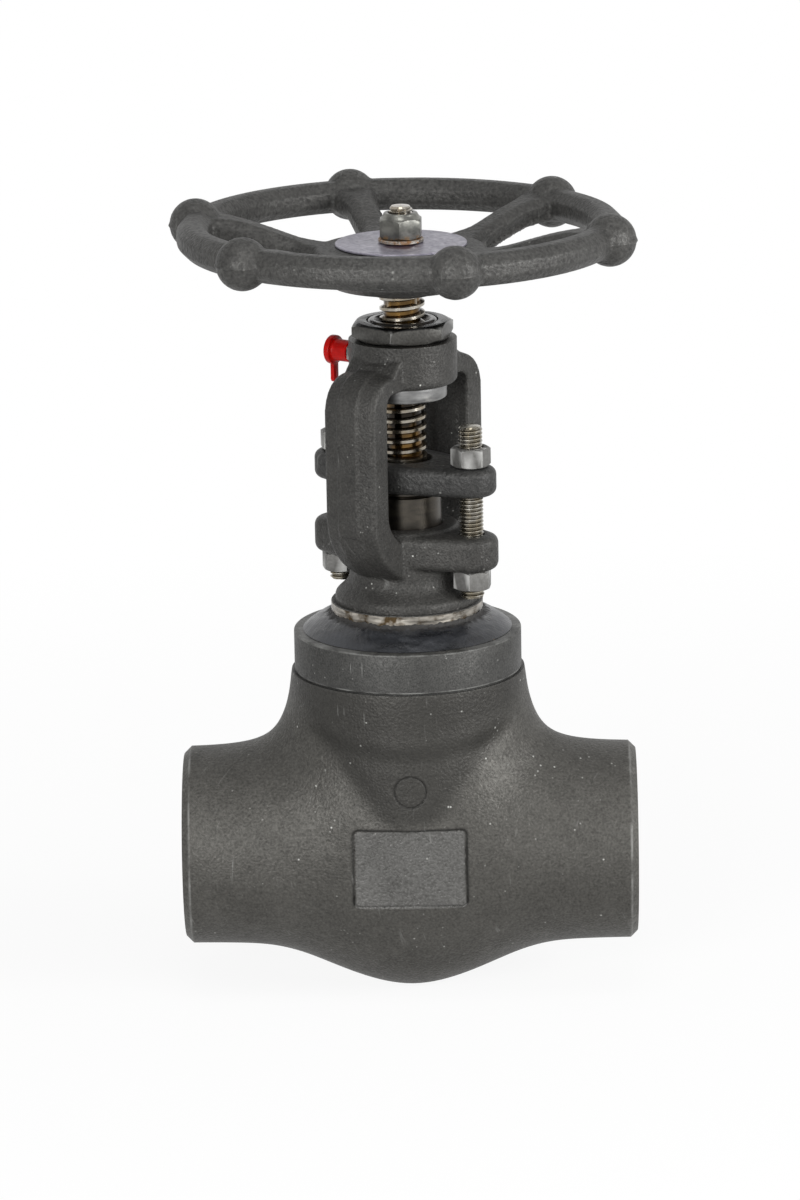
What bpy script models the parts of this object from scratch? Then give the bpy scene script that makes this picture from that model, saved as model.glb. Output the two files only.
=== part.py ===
"""Forged steel globe valve with an outside screw and yoke, a seal-welded bonnet and a six-knob handwheel.

Metres, +Z up. The origin is where the pipe axis (X) crosses the stem axis (Z). The valve is modelled shut.
"""

import math

import bmesh
import bpy
from mathutils import Matrix, Vector

# Fits
FIT = 0.0003            # gap between pieces that touch
BORE_PLAY = 0.0004      # a running shaft in its bore, on radius

# Valve body
FACE_TO_FACE = 0.150
HUB_RADIUS = 0.0328     # forged pipe hubs
END_CHAMFER = 0.0023
SOCKET_RADIUS = 0.01695
SOCKET_DEPTH = 0.013
SOCKET_CHAMFER = 0.0012
PORT_RADIUS = 0.0085    # slanted flow passages
NECK_RADIUS = 0.0384    # forged neck under the collar
COLLAR_CUT = 0.0009     # machined off the neck's radius
COLLAR_HEIGHT = 0.0136
COLLAR_RUNOUT = 0.004   # slope that leads the cut back into the neck
COLLAR_EASE = 0.0004
BODY_TOP = 0.0742
BARREL_FRONT = 0.037    # front of the forging at pipe height
BELLY_BOTTOM = -0.048
THROAT_BOTTOM = -0.016
THROAT_CONE = 0.0038
CHAMBER_LEDGE = 0.0042  # disc chamber in from the bonnet spigot
CHAMBER_FLOOR = 0.005
CHAMBER_STEP = 0.003    # the wide bore starts this far under the bonnet spigot

# Cage of the forging, eight-sided, which subdivision smooths
FILLET_REACH = 0.0128   # neck to pipe-hub fillet: out from the neck, up from the hub
FILLET_RISE = 0.0110
FLANK_SHARE = 0.69      # of the neck radius, where the neck turns into the barrel
FLANK_FRONT = 0.90      # of the hub radius
FLANK_LEVEL = 0.88
BELLY_REACH = 0.037     # along the pipe, where the belly starts
BELLY_FRONT = 0.0275
BELLY_SIDE = -0.0255
BELLY_ROOT = 0.0063     # below the hubs
BELLY_PULL = 0.0138     # the cage hangs this far under the smooth belly
CAGE_SPAN = 0.012       # run of the cage past what the cuts take away

# Bare marking pad on the front
PAD_WIDTH = 0.037
PAD_HEIGHT = 0.0262
PAD_CENTRE = 0.0012
PAD_FACE = 0.0350       # distance of the flat from the stem axis
PAD_TILT = math.radians(2.2)

# Seat, disc and disc nut
SEAT_RECESS_FLOOR = 0.0
SEAT_BORE_RADIUS = 0.0095
SEAT_RING_RADIUS = 0.013
SEAT_RING_HEIGHT = 0.008
SEAT_CONE = 0.0015
DISC_RADIUS = 0.0125
DISC_HEIGHT = 0.0153
DISC_WALL = 0.0033
DISC_TIP_ROOM = 0.0006  # disc nose in from the seat bore
DISC_POCKET = 0.0098
DISC_THREAD_DEPTH = 0.0052
DISC_NUT_RISE = 0.0015
DISC_NUT_HEX = 0.019
DISC_NUT_HEX_HEIGHT = 0.003

# Stem
STEM_RADIUS = 0.0074
STEM_HEAD_RADIUS = 0.0070
STEM_HEAD_HEIGHT = 0.004
STEM_NECK_RADIUS = 0.0052
BACKSEAT_RADIUS = 0.010
BACKSEAT_COLLAR = 0.005
COLLAR_SLOPE = 0.003
COLLAR_ROOM = 0.0020    # disc nut to the foot of the backseat collar
LIFT = 0.0136           # four turns of a 3.4 mm lead
WHEEL_SQUARE = 0.0098
SQUARE_SHORT = 0.0015   # the square ends below the wheel's top
TIP_RADIUS = 0.0039
TIP_CHAMFER = 0.0008
TIP_LENGTH = 0.0131     # above the wheel's top

# Bonnet
SPIGOT_LEDGE = 0.0008   # spigot in from the bonnet ring
BONNET_RING_HEIGHT = 0.0095
BONNET_NECK_RADIUS = 0.0187
BONNET_FOOT = 0.0045    # flare of the neck where it meets the ring
BONNET_FILLET = 0.006
BONNET_FOOT_RISE = 0.007
EAR_RISE = 0.0230       # underside of the gland ears above the body top
EAR_THICKNESS = 0.0115
EAR_RADIUS = 0.0087
EAR_EDGE = 0.0026
BOX_LIP = 0.001
BOX_EDGE = 0.002
BOX_RADIUS = 0.0121
BOX_FLOOR_RISE = 0.0135 # stuffing box floor above the backseat bushing
BACKSEAT_BUSH_RADIUS = 0.012
BACKSEAT_BUSH_HEIGHT = 0.0075
BACKSEAT_CONE = 0.0022

# Seal weld, a straight slope with a slight crown
WELD_LAND = 0.0030      # bare collar outside the weld
WELD_WIDTH = 0.0095     # from the bonnet ring to the weld's foot
WELD_HEIGHT = 0.0056
WELD_CROWN = 0.0003

# Packing and gland
PACKING_COUNT = 5
PACKING_HEIGHT = 0.0048
GLAND_GAP = 0.0123      # box mouth to flange underside
GLAND_SPIGOT = 0.002    # gland sunk into the flange
GLAND_GROOVE = 0.0006
GLAND_GROOVE_DROP = 0.0016
FLANGE_THICKNESS = 0.0094
FLANGE_RADIUS = 0.0083
FLANGE_HALF_WIDTH = 0.0155
FLANGE_EDGE = 0.0024
FLANGE_BORE_PLAY = 0.0018

# Gland bolting, on a line turned from the pipe axis
STUD_TURN = math.radians(-33.2)
STUD_OFFSET = 0.02585
STUD_RADIUS = 0.0039
STUD_PROUD = 0.0069     # past the upper nut
STUD_TAIL = 0.0032      # past the lower nut
STUD_TIP = 0.0006
NUT_ACROSS_FLATS = 0.0114
NUT_HEIGHT = 0.0063
NUT_TURNS = {"upper_right": math.radians(5.0), "lower_right": math.radians(22.0),
             "upper_left": math.radians(40.0), "lower_left": math.radians(45.7)}

# Yoke
YOKE_WINDOW = 0.0483    # height of the window above the ears
YOKE_HUB_RADIUS = 0.0177
YOKE_HUB_HEIGHT = 0.0145
YOKE_HUB_EDGE = 0.0008
LEG_INNER = 0.0234
LEG_THICKNESS = 0.0098
LEG_WIDTH = 0.0195
LEG_CROWN = 0.0036      # half width of the crown's flat
LEG_DRAFT = 0.0010      # the crown's drafted flanks fall by this much
LEG_EDGE = 0.0008
SHOULDER_RADIUS = 0.013
ARM_THICKNESS = 0.0068
ARM_FLARE = 0.0058      # extra depth of the arm inside the hub
LEG_FOOT_RISE = 0.008   # the leg starts to curve in this far above the ears
LEG_FOOT_LEAN = math.radians(62.0)
LEG_FOOT_SWELL = 0.003
LEG_FOOT_SINK = 0.0070  # the leg ends this far inside the bonnet neck
LEG_FOOT_SHARE = 0.66   # drop of the foot's curve against its reach

# Yoke bushing and locknut
YOKE_BUSH_RADIUS = 0.0115
YOKE_BUSH_FLANGE_RADIUS = 0.0142
YOKE_BUSH_FLANGE_HEIGHT = 0.0046
YOKE_BUSH_RISE = 0.0065
YOKE_BUSH_EASE = 0.0012
LOCKNUT_ACROSS_FLATS = 0.030
LOCKNUT_HEIGHT = 0.0058
LOCKNUT_TURN = math.radians(17.5)

# Grease nipple and its cap
NIPPLE_RISE = 0.0077    # above the hub's underside
NIPPLE_THREAD_RADIUS = 0.0026
NIPPLE_THREAD_DEPTH = 0.0045
NIPPLE_SEAT = 0.0005    # hexagon off the round hub
NIPPLE_HEX = 0.0066
NIPPLE_HEX_LENGTH = 0.0018
NIPPLE_NECK_RADIUS = 0.0019
NIPPLE_NECK_LENGTH = 0.0016
NIPPLE_HEAD_RADIUS = 0.0027
NIPPLE_HEAD_SLOPE = 0.0012
NIPPLE_HEAD_LENGTH = 0.0014
NIPPLE_TIP_RADIUS = 0.0013
NIPPLE_TIP_LENGTH = 0.0015
CAP_RADIUS = 0.0036
CAP_END = 0.0024        # wall over the nipple's tip
CAP_DISC_RADIUS = 0.0048
CAP_DISC_THICKNESS = 0.0022
CAP_EASE = 0.0005
TAB_WIDTH = 0.0026
TAB_LENGTH = 0.0060
TAB_THICKNESS = 0.0012

# Handwheel, measured from the underside of its hub
WHEEL_ROOM = 0.0085     # hub above the yoke bushing, valve shut
WHEEL_HUB_HEIGHT = 0.0158
WHEEL_BOSS_RADIUS = 0.0115
WHEEL_BOSS_HEIGHT = 0.0018
WHEEL_BOSS_SLOPE = 0.0015
WEB_RADIUS = 0.0285
WEB_THICKNESS = 0.0108
WEB_RISE = 0.0151
WEB_EDGE = 0.0015
WEB_HAUNCH = 0.006
RIM_RADIUS = 0.0676
RIM_SECTION = 0.0104    # across the flats of the eight-sided rim
RIM_RISE = 0.0199
KNOB_COUNT = 6
KNOB_RADIUS = 0.0086
KNOB_OUTSET = 0.0023    # knobs sit outside the rim's centre line
KNOB_TURN = math.radians(-15.34)
SPOKE_WIDTH = 0.0104
SPOKE_HEIGHT = 0.0090
SPOKE_DROP = 0.0014     # spoke's end below the rim's centre
SPOKE_CHAMFER = 0.0024
SPOKE_ROOT = 1.45       # widening at both roots
SPOKE_FLARE_IN = 0.0054 # run of the widening at the web
SPOKE_FLARE_OUT = 0.0081

# Wheel fastening
PLATE_RADIUS = 0.0215
PLATE_SEAT = 0.0008     # seat of the plate wider than the plate
PLATE_THICKNESS = 0.0006
WASHER_RADIUS = 0.0074
WASHER_THICKNESS = 0.0011
WASHER_EASE = 0.0002
WHEEL_NUT_ACROSS_FLATS = 0.0132
WHEEL_NUT_HEX_HEIGHT = 0.0062
WHEEL_NUT_TURN = math.radians(27.0)
WHEEL_NUT_COLLAR_RADIUS = 0.0056
WHEEL_NUT_COLLAR_HEIGHT = 0.0020

# Smoothness of round work
ROUND_WIDE = 36
ROUND = 24
ROUND_SMALL = 16
ROUND_BORE = 28         # bores keep off the steps of the shapes they cut
ARC = 4
LEG_STEPS = 5
SMOOTH_ANGLE = math.radians(35)
PAST = 0.010            # cutters run this far past what they cut
EASE = 0.0005           # small chamfers
NUT_STEPS = 18          # round a nut, a multiple of six

# Levels and radii that follow from the sizes above
COLLAR_RADIUS = NECK_RADIUS - COLLAR_CUT
COLLAR_BOTTOM = BODY_TOP - COLLAR_HEIGHT
WELD_RADIUS = COLLAR_RADIUS - WELD_LAND
BONNET_RING_RADIUS = WELD_RADIUS - WELD_WIDTH
SPIGOT_RADIUS = BONNET_RING_RADIUS - SPIGOT_LEDGE
CHAMBER_RADIUS = SPIGOT_RADIUS - CHAMBER_LEDGE
SEAT_TOP = SEAT_RECESS_FLOOR + SEAT_RING_HEIGHT
SLANT_GAP = FIT * math.sqrt(2.0)
DISC_DROP = SEAT_TOP - SEAT_BORE_RADIUS - SEAT_CONE + SLANT_GAP
DISC_TOP = SEAT_TOP + DISC_HEIGHT - FIT
DISC_NUT_TOP = DISC_TOP + FIT + DISC_NUT_HEX_HEIGHT
BACKSEAT_LEVEL = DISC_NUT_TOP + COLLAR_ROOM + COLLAR_SLOPE + BACKSEAT_COLLAR
BACKSEAT_BUSH_BOTTOM = BACKSEAT_LEVEL + LIFT + SLANT_GAP
BACKSEAT_BUSH_TOP = BACKSEAT_BUSH_BOTTOM + BACKSEAT_BUSH_HEIGHT
SPIGOT_BOTTOM = BACKSEAT_BUSH_BOTTOM - FIT
RING_BOTTOM = BODY_TOP + FIT
RING_TOP = RING_BOTTOM + BONNET_RING_HEIGHT
EAR_BOTTOM = BODY_TOP + EAR_RISE
EAR_TOP = EAR_BOTTOM + EAR_THICKNESS
BOX_TOP = EAR_TOP + BOX_LIP
BOX_FLOOR = BACKSEAT_BUSH_TOP + BOX_FLOOR_RISE
FLANGE_BOTTOM = BOX_TOP + GLAND_GAP
FLANGE_TOP = FLANGE_BOTTOM + FLANGE_THICKNESS
YOKE_HUB_BOTTOM = EAR_TOP + YOKE_WINDOW
YOKE_HUB_TOP = YOKE_HUB_BOTTOM + YOKE_HUB_HEIGHT
YOKE_BORE = YOKE_BUSH_RADIUS + FIT
YOKE_BUSH_TOP = YOKE_HUB_TOP + YOKE_BUSH_RISE
STEM_BORE = STEM_RADIUS + BORE_PLAY
WHEEL_SEAT = YOKE_BUSH_TOP + WHEEL_ROOM
WHEEL_TOP = WHEEL_SEAT + WHEEL_HUB_HEIGHT
WEB_TOP = WHEEL_SEAT + WEB_RISE
WEB_BOTTOM = WEB_TOP - WEB_THICKNESS
RIM_HEIGHT = WHEEL_SEAT + RIM_RISE
NIPPLE_HEX_TOP = NIPPLE_SEAT + NIPPLE_HEX_LENGTH
NIPPLE_HEAD = NIPPLE_HEX_TOP + NIPPLE_NECK_LENGTH
NIPPLE_LENGTH = NIPPLE_HEAD + NIPPLE_HEAD_SLOPE + NIPPLE_HEAD_LENGTH + NIPPLE_TIP_LENGTH
STUD_LINE = Vector((math.cos(STUD_TURN), math.sin(STUD_TURN), 0.0))
LEG_LINE = Vector((-math.sin(STUD_TURN), math.cos(STUD_TURN), 0.0))


def clear_scene():
    for old in list(bpy.data.objects):
        bpy.data.objects.remove(old, do_unlink=True)


def finish(name, colour, roughness, metallic):
    """A Principled material for one sub-part."""
    mat = bpy.data.materials.new(name)
    mat.use_nodes = True
    shader = mat.node_tree.nodes["Principled BSDF"]
    shader.inputs["Base Color"].default_value = (*colour, 1.0)
    shader.inputs["Roughness"].default_value = roughness
    shader.inputs["Metallic"].default_value = metallic
    mat.diffuse_color = (*colour, 1.0)
    return mat


def add_object(name, bm, mat=None, parent=None):
    """Turn a bmesh into a smooth-shaded object with outward faces."""
    bmesh.ops.remove_doubles(bm, verts=bm.verts, dist=1e-7)
    bmesh.ops.recalc_face_normals(bm, faces=bm.faces)
    mesh = bpy.data.meshes.new(name)
    bm.to_mesh(mesh)
    bm.free()
    if mat:
        mesh.materials.append(mat)
    mesh.shade_smooth()
    mesh.set_sharp_from_angle(angle=SMOOTH_ANGLE)
    obj = bpy.data.objects.new(name, mesh)
    bpy.context.scene.collection.objects.link(obj)
    obj.parent = parent
    return obj


def add_guide(name, bm, parent=None):
    """A cutter or an add-on shape that only feeds a Boolean."""
    obj = add_object(name, bm, parent=parent)
    obj.hide_render = True
    obj.display_type = "WIRE"
    return obj


def combine(obj, guide, operation):
    step = obj.modifiers.new(guide.name, "BOOLEAN")
    step.operation = operation
    step.object = guide
    step.solver = "EXACT"


def settle(obj):
    """Apply the modifiers, drop the guides and mark the sharp edges of the result."""
    graph = bpy.context.evaluated_depsgraph_get()
    graph.update()
    mesh = bpy.data.meshes.new_from_object(obj.evaluated_get(graph))
    guides = [step.object for step in obj.modifiers if step.type == "BOOLEAN"]
    obj.modifiers.clear()
    obj.data = mesh
    mesh.name = obj.name
    mesh.shade_smooth()
    mesh.set_sharp_from_angle(angle=SMOOTH_ANGLE)
    for guide in guides:
        bpy.data.objects.remove(guide, do_unlink=True)
    return obj


def rounded(points, steps=ARC):
    """An outline whose points may carry a fillet radius as third value."""
    flat = [Vector(p[:2]) for p in points]
    out = []
    for i, point in enumerate(points):
        here = flat[i]
        radius = point[2] if len(point) > 2 else 0.0
        if radius <= 0.0:
            out.append(here)
            continue
        back = (flat[i - 1] - here).normalized()
        ahead = (flat[(i + 1) % len(flat)] - here).normalized()
        half = back.angle(ahead) / 2.0
        middle = here + (back + ahead).normalized() * radius / math.sin(half)
        start = here + back * radius / math.tan(half) - middle
        sweep = start.angle_signed(here + ahead * radius / math.tan(half) - middle)
        for k in range(steps + 1):
            out.append(middle + Matrix.Rotation(-sweep * k / steps, 2) @ start)
    return out


def turned(points, steps=ROUND):
    """A solid turned about Z from a closed outline of (radius, height) points."""
    bm = bmesh.new()
    outline = rounded(points)
    verts = [bm.verts.new((p.x, 0.0, p.y)) for p in outline]
    edges = [bm.edges.new((verts[i - 1], verts[i])) for i in range(1, len(verts))]
    if outline[0].x > 1e-6 or outline[-1].x > 1e-6:
        edges.append(bm.edges.new((verts[-1], verts[0])))
    bmesh.ops.spin(bm, geom=verts + edges, cent=(0, 0, 0), axis=(0, 0, 1),
                   angle=math.tau, steps=steps, use_merge=True)
    bmesh.ops.remove_doubles(bm, verts=bm.verts, dist=1e-7)
    return bm


def extruded(outline, low, high, edge=0.0):
    """A plate with the given plan outline, its two faces eased by a bevel."""
    bm = bmesh.new()
    base = bm.faces.new([bm.verts.new((p[0], p[1], low)) for p in outline])
    top = bmesh.ops.extrude_face_region(bm, geom=[base])
    bmesh.ops.translate(bm, vec=(0, 0, high - low),
                        verts=[v for v in top["geom"] if isinstance(v, bmesh.types.BMVert)])
    if edge > 0.0:
        rims = [e for e in bm.edges if abs(e.verts[0].co.z - e.verts[1].co.z) < 1e-7]
        bmesh.ops.bevel(bm, geom=rims, offset=edge, segments=2, profile=0.5, affect="EDGES")
    return bm


def lofted(rings):
    """A solid skinned over rings of equal length, with flat ends."""
    bm = bmesh.new()
    loops = [[bm.verts.new(p) for p in ring] for ring in rings]
    for low, high in zip(loops, loops[1:]):
        for i in range(len(low)):
            bm.faces.new((low[i - 1], low[i], high[i], high[i - 1]))
    bm.faces.new(loops[0])
    bm.faces.new(loops[-1])
    return bm


def rod(radius, start, end, steps=ROUND_SMALL):
    """A plain round bar between two points."""
    start, end = Vector(start), Vector(end)
    bm = bmesh.new()
    bmesh.ops.create_cone(bm, cap_ends=True, segments=steps, radius1=radius, radius2=radius,
                          depth=(end - start).length)
    turn = Vector((0, 0, 1)).rotation_difference(end - start).to_matrix().to_4x4()
    bmesh.ops.transform(bm, matrix=Matrix.Translation((start + end) / 2.0) @ turn, verts=bm.verts)
    return bm


def block(size, centre):
    bm = bmesh.new()
    bmesh.ops.create_cube(bm, size=1.0)
    bmesh.ops.scale(bm, vec=size, verts=bm.verts)
    bmesh.ops.translate(bm, vec=centre, verts=bm.verts)
    return bm


def ring_profile(inner, outer, low, high, edge=0.0):
    """Outline of a plain ring, with an optional chamfer on its outer corners."""
    if edge <= 0.0:
        return [(inner, low), (outer, low), (outer, high), (inner, high)]
    return [(inner, low), (outer - edge, low), (outer, low + edge), (outer, high - edge),
            (outer - edge, high), (inner, high)]


def hexagon(across_flats, turn=0.0):
    radius = across_flats / math.sqrt(3.0)
    return [(radius * math.cos(turn + k * math.tau / 6), radius * math.sin(turn + k * math.tau / 6))
            for k in range(6)]


def add_nut(name, mat, parent, place, across_flats, height, bore, turn, collar=None):
    """A hexagon nut with conical chamfers, standing on the given point, with a round collar on request."""
    face = across_flats / 2.0 - FIT
    slope = math.tan(math.radians(30.0))
    verts = []
    bm = bmesh.new()
    for k in range(NUT_STEPS):
        angle = k * math.tau / NUT_STEPS
        corner = across_flats / 2.0 / math.cos(angle % (math.tau / 6) - math.tau / 12)
        drop = (corner - face) * slope
        outline = [(bore, 0.0), (face, 0.0), (corner, drop), (corner, height - drop)]
        if collar:
            radius, rise = collar
            shoulder = height + (face - radius) * slope
            outline += [(radius, shoulder), (radius, height + rise), (bore, height + rise)]
        else:
            outline += [(face, height), (bore, height)]
        heading = Vector((math.cos(angle + turn), math.sin(angle + turn), 0.0))
        verts.append([bm.verts.new(heading * r + Vector((0, 0, z))) for r, z in outline])
    for k in range(NUT_STEPS):
        here, ahead = verts[k - 1], verts[k]
        for i in range(len(here)):
            bm.faces.new((here[i - 1], here[i], ahead[i], ahead[i - 1]))
    nut = add_object(name, bm, mat, parent)
    nut.location = place
    return nut


def body_cage():
    """Eight-sided control cage of the forging, which subdivision smooths into its flowing form."""
    tight = 2.0 / 3.0 + math.cos(math.tau / 8) / 3.0
    hub = HUB_RADIUS / tight
    neck = NECK_RADIUS / tight
    half = FACE_TO_FACE / 2.0
    slant = math.sqrt(0.5)
    fillet = NECK_RADIUS + FILLET_REACH
    crown_level = COLLAR_BOTTOM + CAGE_SPAN

    def hub_ring(x):
        return [(x, -hub * math.sin(k * math.pi / 4), hub * math.cos(k * math.pi / 4)) for k in range(5)]

    end_ring = hub_ring(half + CAGE_SPAN)
    root_ring = hub_ring(fillet + (half - fillet) / 6)
    saddle = [(fillet, 0.0, HUB_RADIUS + FILLET_RISE),
              (NECK_RADIUS * FLANK_SHARE, -HUB_RADIUS * FLANK_FRONT, HUB_RADIUS * FLANK_LEVEL),
              (NECK_RADIUS * FLANK_SHARE, -BARREL_FRONT, 0.0),
              (BELLY_REACH, -BELLY_FRONT, BELLY_SIDE),
              (BELLY_REACH, 0.0, -HUB_RADIUS - BELLY_ROOT)]
    middle = [(0.0, -neck, HUB_RADIUS * FLANK_LEVEL), (0.0, -BARREL_FRONT - BELLY_ROOT / 2.0, 0.0),
              (0.0, -BELLY_FRONT, BELLY_BOTTOM * FLANK_FRONT), (0.0, 0.0, BELLY_BOTTOM - BELLY_PULL)]
    neck_foot = saddle[0][2] + (COLLAR_BOTTOM - saddle[0][2]) * 2 / 3
    low_neck = [(neck, 0.0, neck_foot), (neck * slant, -neck * slant, neck_foot), (0.0, -neck, neck_foot)]
    top_neck = [(x, y, crown_level) for x, y, _ in low_neck]
    crown = (0.0, 0.0, crown_level)

    strips = [(end_ring, root_ring), (root_ring, saddle)]
    quarter = [(a[k], a[k + 1], b[k + 1], b[k]) for a, b in strips for k in range(4)]
    quarter += [(saddle[k + 1], saddle[k + 2], middle[k + 1], middle[k]) for k in range(3)]
    quarter += [(saddle[0], saddle[1], low_neck[1], low_neck[0]),
                (saddle[1], middle[0], low_neck[2], low_neck[1])]
    quarter += [(low_neck[k], low_neck[k + 1], top_neck[k + 1], top_neck[k]) for k in range(2)]
    quarter += [(*top_neck, crown), tuple(end_ring)]

    bm = bmesh.new()
    crease = bm.edges.layers.float.new("crease_edge")
    placed = {}
    for side in (1, -1):
        for front in (1, -1):
            for face in quarter:
                corners = []
                for x, y, z in face:
                    spot = (side * x + 0.0, front * y + 0.0, z)
                    if spot not in placed:
                        placed[spot] = bm.verts.new(spot)
                    corners.append(placed[spot])
                bm.faces.new(corners)
    for edge in bm.edges:
        if min(abs(vert.co.x) for vert in edge.verts) > half:
            edge[crease] = 1.0
    return bm


def add_body(mat, parent):
    body = add_object("valve_body", body_cage(), mat, parent)
    smooth = body.modifiers.new("forging", "SUBSURF")
    smooth.levels = 2
    smooth.render_levels = 2

    half = FACE_TO_FACE / 2.0
    faced = turned([(0, -half), (HUB_RADIUS - END_CHAMFER, -half), (half + HUB_RADIUS - END_CHAMFER, 0.0),
                    (HUB_RADIUS - END_CHAMFER, half), (0, half)])
    bmesh.ops.rotate(faced, matrix=Matrix.Rotation(math.pi / 2, 3, "Y"), verts=faced.verts)
    combine(body, add_guide("end_facing", faced, body), "INTERSECT")

    clear = 2 * CAGE_SPAN
    above = block((FACE_TO_FACE, FACE_TO_FACE, clear), (0, 0, COLLAR_BOTTOM + clear / 2.0))
    combine(body, add_guide("collar_shoulder", above, body), "DIFFERENCE")
    root = COLLAR_RADIUS - 2 * COLLAR_CUT
    collar = turned([(0, COLLAR_BOTTOM - CAGE_SPAN), (root, COLLAR_BOTTOM - CAGE_SPAN),
                     (COLLAR_RADIUS, COLLAR_BOTTOM - COLLAR_RUNOUT), (COLLAR_RADIUS, BODY_TOP - COLLAR_EASE),
                     (COLLAR_RADIUS - COLLAR_EASE, BODY_TOP), (0, BODY_TOP)], ROUND_WIDE)
    combine(body, add_guide("collar", collar, body), "UNION")

    recess = SEAT_RING_RADIUS + FIT
    throat = SEAT_BORE_RADIUS
    wide = SPIGOT_RADIUS + FIT
    step = SPIGOT_BOTTOM - CHAMBER_STEP
    core = turned([(0, THROAT_BOTTOM), (throat - THROAT_CONE, THROAT_BOTTOM),
                   (throat, THROAT_BOTTOM + THROAT_CONE), (throat, SEAT_RECESS_FLOOR),
                   (recess, SEAT_RECESS_FLOOR), (recess, CHAMBER_FLOOR), (CHAMBER_RADIUS, CHAMBER_FLOOR),
                   (CHAMBER_RADIUS, step), (wide, step), (wide, BODY_TOP + PAST),
                   (0, BODY_TOP + PAST)], ROUND_BORE)
    combine(body, add_guide("stem_side_bores", core, body), "DIFFERENCE")

    floor = half - SOCKET_DEPTH
    under_seat = (-THROAT_CONE, 0, THROAT_BOTTOM + PORT_RADIUS / 2.0)
    over_seat = (SEAT_RING_RADIUS, 0, SEAT_TOP + PORT_RADIUS * 3 / 4)
    for word, side, end in (("inlet", -1, under_seat), ("outlet", 1, over_seat)):
        mouth = turned([(0, floor), (SOCKET_RADIUS, floor), (SOCKET_RADIUS, half - SOCKET_CHAMFER),
                        (SOCKET_RADIUS + SOCKET_CHAMFER + PAST, half + PAST), (0, half + PAST)], ROUND_BORE)
        bmesh.ops.rotate(mouth, matrix=Matrix.Rotation(side * math.pi / 2, 3, "Y"), verts=mouth.verts)
        combine(body, add_guide(word + "_socket", mouth, body), "DIFFERENCE")
        start = Vector((side * floor, 0, 0))
        drilled = (Vector(end) - start).normalized()
        passage = rod(PORT_RADIUS, start - drilled * PORT_RADIUS / 2.0, end)
        combine(body, add_guide(word + "_passage", passage, body), "DIFFERENCE")

    pocket = block((PAD_WIDTH, 2 * PAST, PAD_HEIGHT), (0, -PAST, 0))
    bmesh.ops.rotate(pocket, matrix=Matrix.Rotation(PAD_TILT, 3, "X"), verts=pocket.verts)
    bmesh.ops.translate(pocket, vec=(0, -PAD_FACE, PAD_CENTRE), verts=pocket.verts)
    combine(body, add_guide("marking_pad", pocket, body), "DIFFERENCE")
    return settle(body)


def add_ring(name, mat, parent, points, steps=ROUND):
    return add_object(name, turned(points, steps), mat, parent)


def add_seat_ring(mat, parent):
    foot = SEAT_RECESS_FLOOR + FIT
    outer = SEAT_RING_RADIUS
    return add_ring("seat_ring", mat, parent,
                    [(SEAT_BORE_RADIUS, foot), (outer - EASE, foot), (outer, foot + EASE),
                     (outer, SEAT_TOP - EASE), (outer - EASE, SEAT_TOP),
                     (SEAT_BORE_RADIUS + SEAT_CONE, SEAT_TOP),
                     (SEAT_BORE_RADIUS, SEAT_TOP - SEAT_CONE)])


def add_disc(mat, parent):
    """Plug disc with a 45 degree nose, hollow above for the stem head."""
    nose = SEAT_BORE_RADIUS - DISC_TIP_ROOM
    inner = DISC_RADIUS - DISC_WALL
    pocket = STEM_HEAD_RADIUS + BORE_PLAY
    ledge = DISC_TOP - DISC_THREAD_DEPTH - FIT
    return add_ring("disc", mat, parent,
                    [(0, nose + DISC_DROP), (nose, nose + DISC_DROP), (DISC_RADIUS, DISC_RADIUS + DISC_DROP),
                     (DISC_RADIUS, DISC_TOP - EASE), (DISC_RADIUS - EASE, DISC_TOP), (inner, DISC_TOP),
                     (inner, ledge), (pocket, ledge), (pocket, DISC_TOP - DISC_POCKET),
                     (0, DISC_TOP - DISC_POCKET)])


def add_disc_nut(mat, parent):
    outer = DISC_RADIUS - DISC_WALL - FIT
    bore = STEM_NECK_RADIUS + BORE_PLAY
    low = DISC_TOP - DISC_THREAD_DEPTH
    nut = add_ring("disc_nut", mat, parent, ring_profile(bore, outer, low, DISC_TOP + DISC_NUT_RISE))
    top = extruded(hexagon(DISC_NUT_HEX), DISC_TOP + FIT, DISC_NUT_TOP, EASE)
    combine(nut, add_guide("disc_nut_hex", top, nut), "UNION")
    hole = rod(bore, (0, 0, low - PAST), (0, 0, DISC_NUT_TOP + PAST), ROUND)
    combine(nut, add_guide("disc_nut_bore", hole, nut), "DIFFERENCE")
    return settle(nut)


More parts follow.
